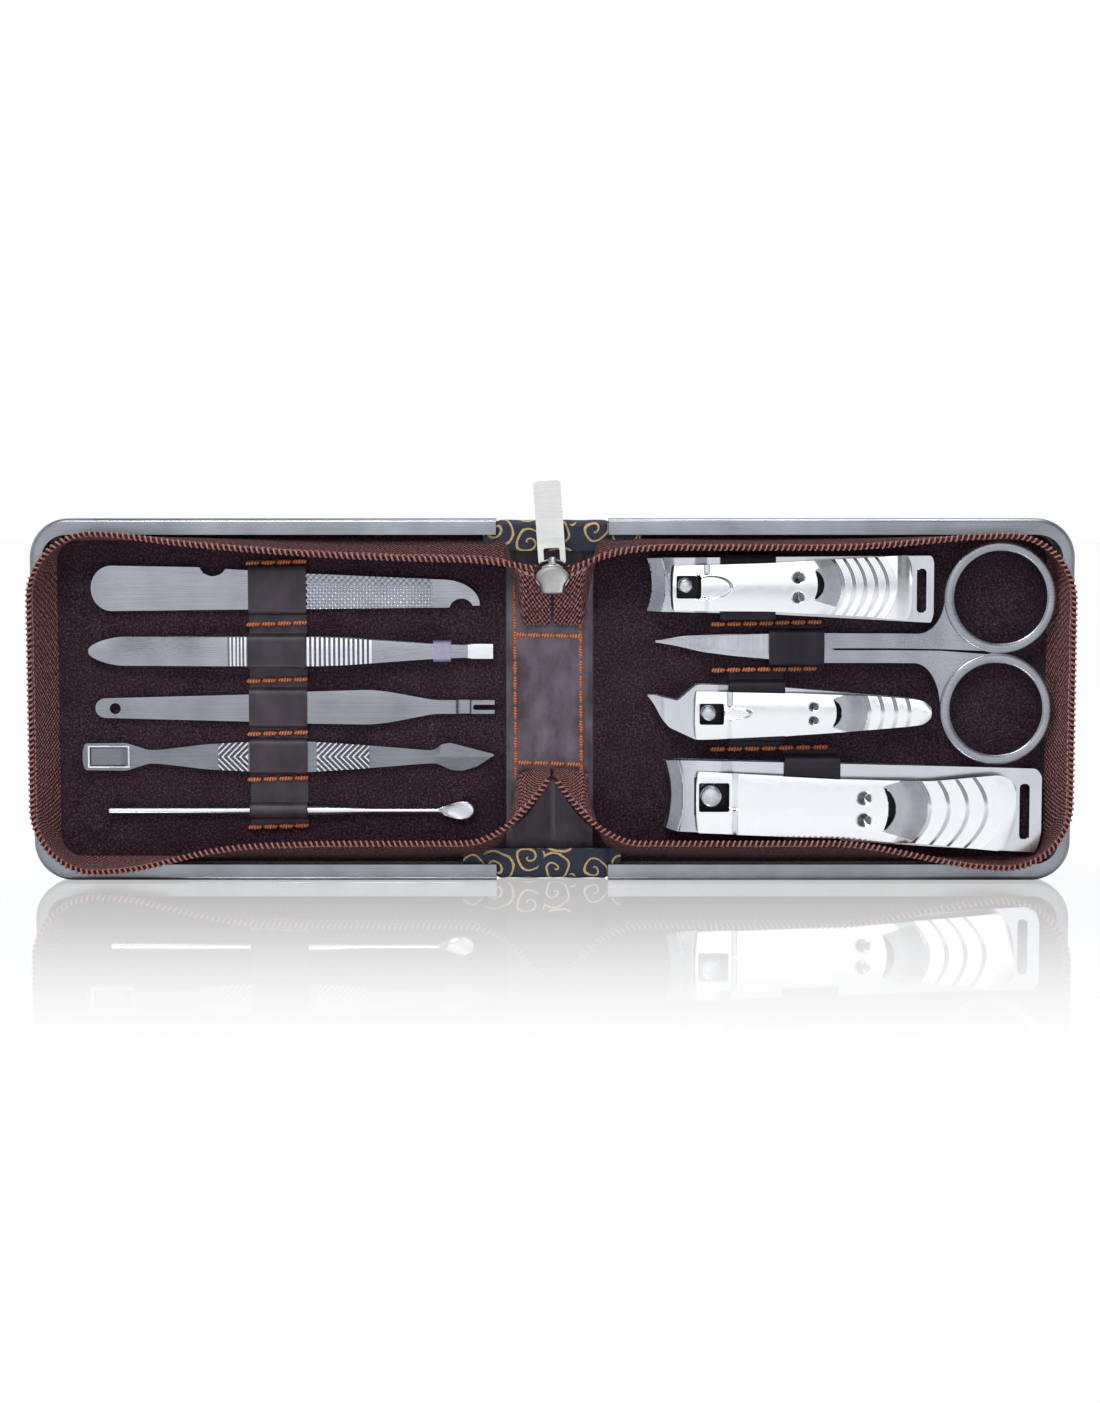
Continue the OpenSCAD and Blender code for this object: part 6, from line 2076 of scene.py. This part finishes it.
def cuticle_clipper() -> Clipper:
    """Cuticle clipper with a hooked beak and a pointed tail.

    Returns:
        Its sizes, as for the small one.
    """
    ends, lever_ends = (-8, 2.0, 61.5, 2.6), (-2.95, 0.5, 48.6, 2.8)
    return Clipper(
        "cuticle", 20.8, 37.0, length=61.4, jaw_h=5.0, leaf_t=1.1, pin_x=13.0, pin_r=1.6, rivet_x=53.4,
        low=capped([(0, 3.45), (1.2, 1.9), (3.0, -1.4), (4.6, -3.3), (10.4, -6.0), (11.5, -6.05), (28, -5.6),
                    (52, -3.4), (58, -2.8), (61.4, -2.0)], 0.45, *ends),
        high=capped([(0, 3.75), (1.6, 3.7), (6.4, 2.5), (10.4, 5.9), (11.5, 6.05), (28, 5.4), (52, 3.4), (58, 2.8),
                     (61.4, 2.0)], 0.45, *ends),
        lever_low=capped([(-3, -5.8), (0, -5.75), (20, -4.8), (36, -3.7), (44, -3.0), (49, -2.2)], 1.2, *lever_ends),
        lever_high=capped([(-3, 4.6), (0, 4.6), (20, 4.2), (36, 3.6), (44, 3.0), (49, 2.2)], 1.2, *lever_ends),
        lever_end=48.4, back=2.9, window=(-1.9, 3.4, -2.6, 2.0), tongue=(6.2, 1.2, 3.4),
        eyes=(22.8, -0.1, 1.2, 1.5), smile=(28.9, 0.0, 3.1, 2.1), smile_t=1.2, ribs=(35.4, 2.9, 4),
        slot=None, nose=6.0)


def large_clipper() -> Clipper:
    """Toe nail clipper with a round-cornered tail and a hollow jaw.

    Returns:
        Its sizes, as for the small one.
    """
    ends, lever_ends = (-4.2, 4.0, 83.4, 2.4), (-3.3, 0.8, 66.6, 4.6)
    return Clipper(
        "large", 24.2, 18.9, length=82.8, jaw_h=6.1, leaf_t=1.3, pin_x=10.2, pin_r=2.2, rivet_x=72.8,
        low=capped([(0, -6.9), (2.4, -7.75), (28, -9.4), (60, -11.6), (82.8, -13.0)], 1.0, *ends),
        high=capped([(0, 7.5), (2.4, 7.75), (40, 6.7), (82.8, 5.5)], 1.0, *ends),
        lever_low=capped([(-3.4, -8.0), (29, -9.2), (48, -10.6), (67, -12.4)], 2.0, *lever_ends),
        lever_high=capped([(-3.4, 5.4), (29, 3.7), (48, 3.2), (62, 4.5), (67, 4.6)], 2.0, *lever_ends),
        lever_end=66.2, back=3.2, window=(-2.6, 4.0, -3.4, 2.9), tongue=(6.2, 0.0, 1.0),
        eyes=(33.2, -2.7, 1.75, 2.4), smile=(40.1, -2.7, 4.9, 2.9), smile_t=1.7, ribs=(48.0, 4.1, 4),
        slot=(78.0, 80.2, -10.0, 2.2), nose=7.7, hollow=1.3)


@dataclass
class Scissors:
    """Nail scissors: two crossing blades with round finger rings."""

    x: float = 22.5
    z: float = 50.8
    pivot: float = 31.0
    thick: float = 1.3
    ring_r: float = 11.1
    wire: float = 1.15
    lift: float = 3.94

    def build(self) -> None:
        """Makes each blade with its shank, its neck and its ring, and the screw."""
        self.blade(True)
        self.blade(False)
        screw = turned(self.pivot, [(0, 1.45), (0.1, 1.6), (2.6, 1.6), (2.62, 2.2), (2.9, 2.2), (3.05, 1.7)])
        piece = screw.shifted(self.x, SIZES.tool_y, self.z).piece(
            "pivot_screw", PIN_STEEL.material(), "pin_steel", 32.0)
        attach(piece, "scissors")
        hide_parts("scissors_screw")
        LOG.info("scissors")

    def blade(self, back: bool) -> None:
        """One blade; the back one ends in the upper ring and the front one in the lower ring.

        Args:
            back: whether it is the back blade.
        """
        word, rx, rz = ("back", 74.6, 11.2) if back else ("front", 73.9, -13.1)
        taper = [(5.4, 0.3), (10, -0.8), (17, -1.7), (25, -2.4)]
        if back:
            edge = soft([(0, 1.5), (6, 2.6), (16, 2.95), (35, 3.2), (80, 3.15)], 1.0)
            low = soft([(0, 1.2), *taper, (29, -3.1), (35, -3.15), (38.5, -0.1), (62, -0.1), (76, -0.6)], 0.8)
            high = lambda x: np.where(x > 40.0, self.web(x, rx, rz, 3.15), edge(x))
        else:
            edge = soft([(0, 1.35), *taper, (29, -3.15), (35, -3.2), (80, -3.2)], 1.0)
            low = lambda x: np.where(x > 40.0, -self.web(x, rx, -rz, 3.2), edge(x))
            high = soft([(0, 1.7), (6, 1.8), (16, 2.9), (27, 3.2), (35, 3.15), (38.5, -0.45), (62, -0.45),
                         (76, -1.5)], 0.8)
        depth = 0.0 if back else -self.thick - 0.05
        rise = soft([(0, 0), (51, 0), (64, 3.3 if back else 2.0), (90, 3.3 if back else 2.0)], 2.0)
        thin = soft([(0, 0.45), (14, 0.1), (24, 0), (90, 0)], 1.0)
        grind = lambda x, z: 0.2 * smooth_step((2.0 - (z - low(x))) / 2.0) * smooth_step((26 - x) / 3.0)
        front = lambda x, z: depth - self.thick - rise(x) + (0 if back else 1) * (thin(x) + grind(x, z))
        rear = lambda x, z: depth - rise(x) - (thin(x) if back else 0)
        places = stations(0, rx - 0.5, 0.25, 1.5, [(57.0, 66.0, 0.15)])
        strip = slab(places, low, high, 30, front, rear, [circle_hole(self.pivot, 0, 1.66)])
        piece = Shape.join([strip, self.ring(rx, rz)]).shifted(self.x, SIZES.tool_y, self.z).piece(
            f"{word}_blade_and_ring", CROSS_STEEL.material(), "satin_steel", 32.0, 0.1,
            [(BLADE_STEEL.material(), lambda x, z: x < self.x + 27.0)])
        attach(piece, "scissors" if back else "scissors_front")
        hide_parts(f"scissors_{word}_blade")

    def ring(self, rx: float, rz: float) -> Shape:
        """Ring of flat section with round edges: a squared oval carried round a circle.

        Args:
            rx: its middle's X from the tips.
            rz: its middle's height over the pivot.

        Returns:
            The closed shape.
        """
        a, b = circle(96)[:, None], circle(24)
        r = self.ring_r + self.wire * squared(b, 0.7)[0]
        points = stacked(rx + r * np.cos(a), -self.lift + self.wire * 0.85 * squared(b, 0.5)[1], rz + r * np.sin(a))
        uv = stacked(a * self.ring_r, b * self.wire).reshape(-1, 2)
        return Shape(points.reshape(-1, 3), grid_faces(96, 24, True, True), uv).outward()

    def web(self, x: Array, rx: float, rz: float, plain: float) -> Array:
        """Outer edge of the metal between shank and ring: it leaves the shank in a round, rises to the ring's side,
        and then follows the lower half of the ring's middle line.

        Args:
            x: places along X.
            rx: the ring's middle along X.
            rz: the ring's middle along Z.
            plain: height of the shank beside it.

        Returns:
            The height at each place.
        """
        left = rx - self.ring_r - 1.0
        fillet = plain + (rz - plain) * (1.0 - np.sqrt(np.clip(1.0 - np.clip((x - left + 5.6) / 5.6, 0, 1) ** 2, 0, 1)))
        under = rz - np.sqrt(np.clip(self.ring_r ** 2 - (x - rx) ** 2, 0.0, None))
        return np.where(x < left, np.minimum(fillet, rz), np.minimum(under, rz))


# ---------------------------------------------------------------- studio


@dataclass
class Studio:
    """Pale glossy floor, soft light and the camera at the photograph's angle."""

    distance: float = 555.0
    elevation: float = 5.0
    target: tuple[float, float, float] = (-0.5, 0.0, 39.3)
    sensor: float = 36.0
    focal_px: float = 2553.0
    frame_px: float = 1403.0
    floor_half: float = 3.0

    def build(self) -> None:
        """Adds the floor, the world, the lamps and the camera."""
        self.floor()
        self.world()
        self.lamp("front_softbox", (-160.0, -620.0, 620.0), 300.0, 2.6)
        self.lamp("top_softbox", (120.0, -60.0, 620.0), 260.0, 1.3)
        self.camera()
        LOG.info("studio")

    def camera(self) -> None:
        """Camera at the photograph's distance and height, with its frame's longer side on the sensor."""
        data = bpy.data.cameras.new("camera")
        data.sensor_width = self.sensor
        data.lens = self.sensor * self.focal_px / self.frame_px
        data.clip_start, data.clip_end = 0.01, 20.0
        obj = bpy.data.objects.new("camera", data)
        tilt = math.radians(self.elevation)
        tx, ty, tz = self.target
        obj.location = (tx * MM, (ty - self.distance * math.cos(tilt)) * MM, (tz + self.distance * math.sin(tilt)) * MM)
        obj.rotation_euler = (math.pi / 2 - tilt, 0.0, 0.0)
        bpy.context.scene.collection.objects.link(obj)
        bpy.context.scene.camera = obj

    def lamp(self, name: str, place: tuple[float, float, float], size: float, power: float) -> None:
        """Square area lamp that faces the middle of the case.

        Args:
            name: its name.
            place: where it stands, in millimetres.
            size: its side, in millimetres.
            power: its power in watts.
        """
        data = bpy.data.lights.new(name, "AREA")
        data.size, data.energy = size * MM, power
        obj = bpy.data.objects.new(name, data)
        spot = np.array(place) - np.array([0.0, 0.0, 40.0])
        flat = math.hypot(spot[0], spot[1])
        obj.location = tuple(c * MM for c in place)
        obj.rotation_euler = (math.atan2(flat, spot[2]), 0.0, math.atan2(spot[1], spot[0]) + math.pi / 2)
        bpy.context.scene.collection.objects.link(obj)

    def world(self) -> None:
        """Soft room: bright behind the camera and behind the case, grey at the sides, overhead and low down.

        The bright patch behind the camera makes polished steel white where it faces the viewer, and its edge
        makes it grey where it is bent away. The camera itself sees plain white.
        """
        world = bpy.data.worlds.new("room")
        bpy.context.scene.world = world
        world.use_nodes = True
        world.node_tree.nodes.clear()
        add = partial(add_node, world.node_tree)
        place = add("TexCoord").outputs["Generated"]
        x, y, z = add("SeparateXYZ", (place,)).outputs
        smooth = {"interpolation_type": "SMOOTHSTEP"}
        patch = add("MapRange", (y, -0.99, -0.9, 1.0, 0.0), **smooth)
        behind = add("MapRange", (y, 0.5, 0.9, 0.0, 0.7), **smooth)
        ends = add("Math", (x,), operation="ABSOLUTE")
        ends = add("MapRange", (ends, 0.55, 0.95, 0.27, 0.75), **smooth)
        level = add("Math", (x, -0.15, ends), operation="MULTIPLY_ADD")
        level = add("Math", (z, 0.15, level), operation="MULTIPLY_ADD")
        level = add("Math", (level, 0.12), operation="MAXIMUM")
        level = add("Math", (patch, 1.14, level), operation="MULTIPLY_ADD")
        level = add("Math", (level, behind), operation="ADD")
        seen = add("LightPath").outputs["Is Camera Ray"]
        shown = add("Mix", {0: seen, 2: level, 3: 1.0})
        white = add("Math", (patch, behind), operation="MAXIMUM")
        white = add("Math", (white, seen), operation="MAXIMUM")
        tint = add("Mix", {0: white, 6: linear("#eff5ff"), 7: linear("#ffffff")}, data_type="RGBA").outputs[2]
        light = add("Background", {"Color": tint, "Strength": shown})
        add("OutputWorld", {"Surface": light})

    def floor(self) -> None:
        """Floor of cast white acrylic: matt white that mirrors what stands near its back.

        The mirror fades smoothly from half strength at the case to nothing 17 cm in front of it, and stops behind
        it. The camera sees a white of strength 0.96 with the object's shadow in the rest.
        """
        h = self.floor_half
        mesh = bpy.data.meshes.new("floor")
        mesh.from_pydata([(-h, -h, 0), (h, -h, 0), (h, h, 0), (-h, h, 0)], [], [(0, 1, 2, 3)])
        obj = bpy.data.objects.new("floor", mesh)
        bpy.context.scene.collection.objects.link(obj)
        material = bpy.data.materials.new("cast_white_acrylic_floor")
        material.use_nodes = True
        material.node_tree.nodes.clear()
        add = partial(add_node, material.node_tree)
        place = add("TexCoord").outputs["Object"]
        y = add("SeparateXYZ", (place,)).outputs[1]
        smooth = {"interpolation_type": "SMOOTHSTEP"}
        fade = add("MapRange", (y, -0.17, -0.004, 0.0, 0.5), **smooth)
        behind = add("MapRange", (y, 0.004, 0.03, 1.0, 0.0), **smooth)
        fade = add("Math", (fade, behind), operation="MULTIPLY")
        ray = add("LightPath").outputs
        seen = add("Math", (ray["Is Camera Ray"], ray["Is Transmission Ray"]), operation="MAXIMUM")
        seen = add("Math", (seen, 0.96), operation="MULTIPLY")
        matte = add("BsdfDiffuse", {"Color": linear("#f3f3f3")})
        glow = add("Emission", {"Color": linear("#ffffff"), "Strength": 1.0})
        pale = add("MixShader", (seen, matte, glow))
        gloss = add("BsdfGlossy", {"Color": linear("#ffffff"), "Roughness": 0.03})
        mixed = add("MixShader", (fade, pale, gloss))
        add("OutputMaterial", {"Surface": mixed})
        mesh.materials.append(material)


def dress_boards() -> None:
    """Gives the boards, which stay as the solids have them, the finish of pressed grey board."""
    for name in ("left_board", "right_board", "spine_board"):
        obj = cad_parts[name]
        for slot in obj.material_slots:
            slot.material = BOARD.material()


def main() -> None:
    """Builds every sub-assembly in order."""
    logging.basicConfig(level=logging.INFO, format="%(name)s: %(message)s")
    s = SIZES
    parts = [
        SteelCovers(), Linings(), SpineCloth(), SpinePanel(), Zip(), Slider(), LeftLoops(), RightLoops(),
        NailFile(s.left_end + 7.2, 63.75, 1.2), Tweezers(s.left_end + 6.6, 50.1, 4.0),
        Trimmer(s.left_end + 7.9, 37.6, 1.4), Pusher(s.left_end + 4.9, 26.9, 1.4),
        EarPick(s.left_end + 10.2, 15.0, 1.2),
        small_clipper(), cuticle_clipper(), large_clipper(), Scissors(), Studio()]
    for part in parts:
        part.build()
    dress_boards()
    bpy.context.scene.view_settings.view_transform = "Standard"


if __name__ == "__main__":
    main()
    bpy.context.view_layer.update()
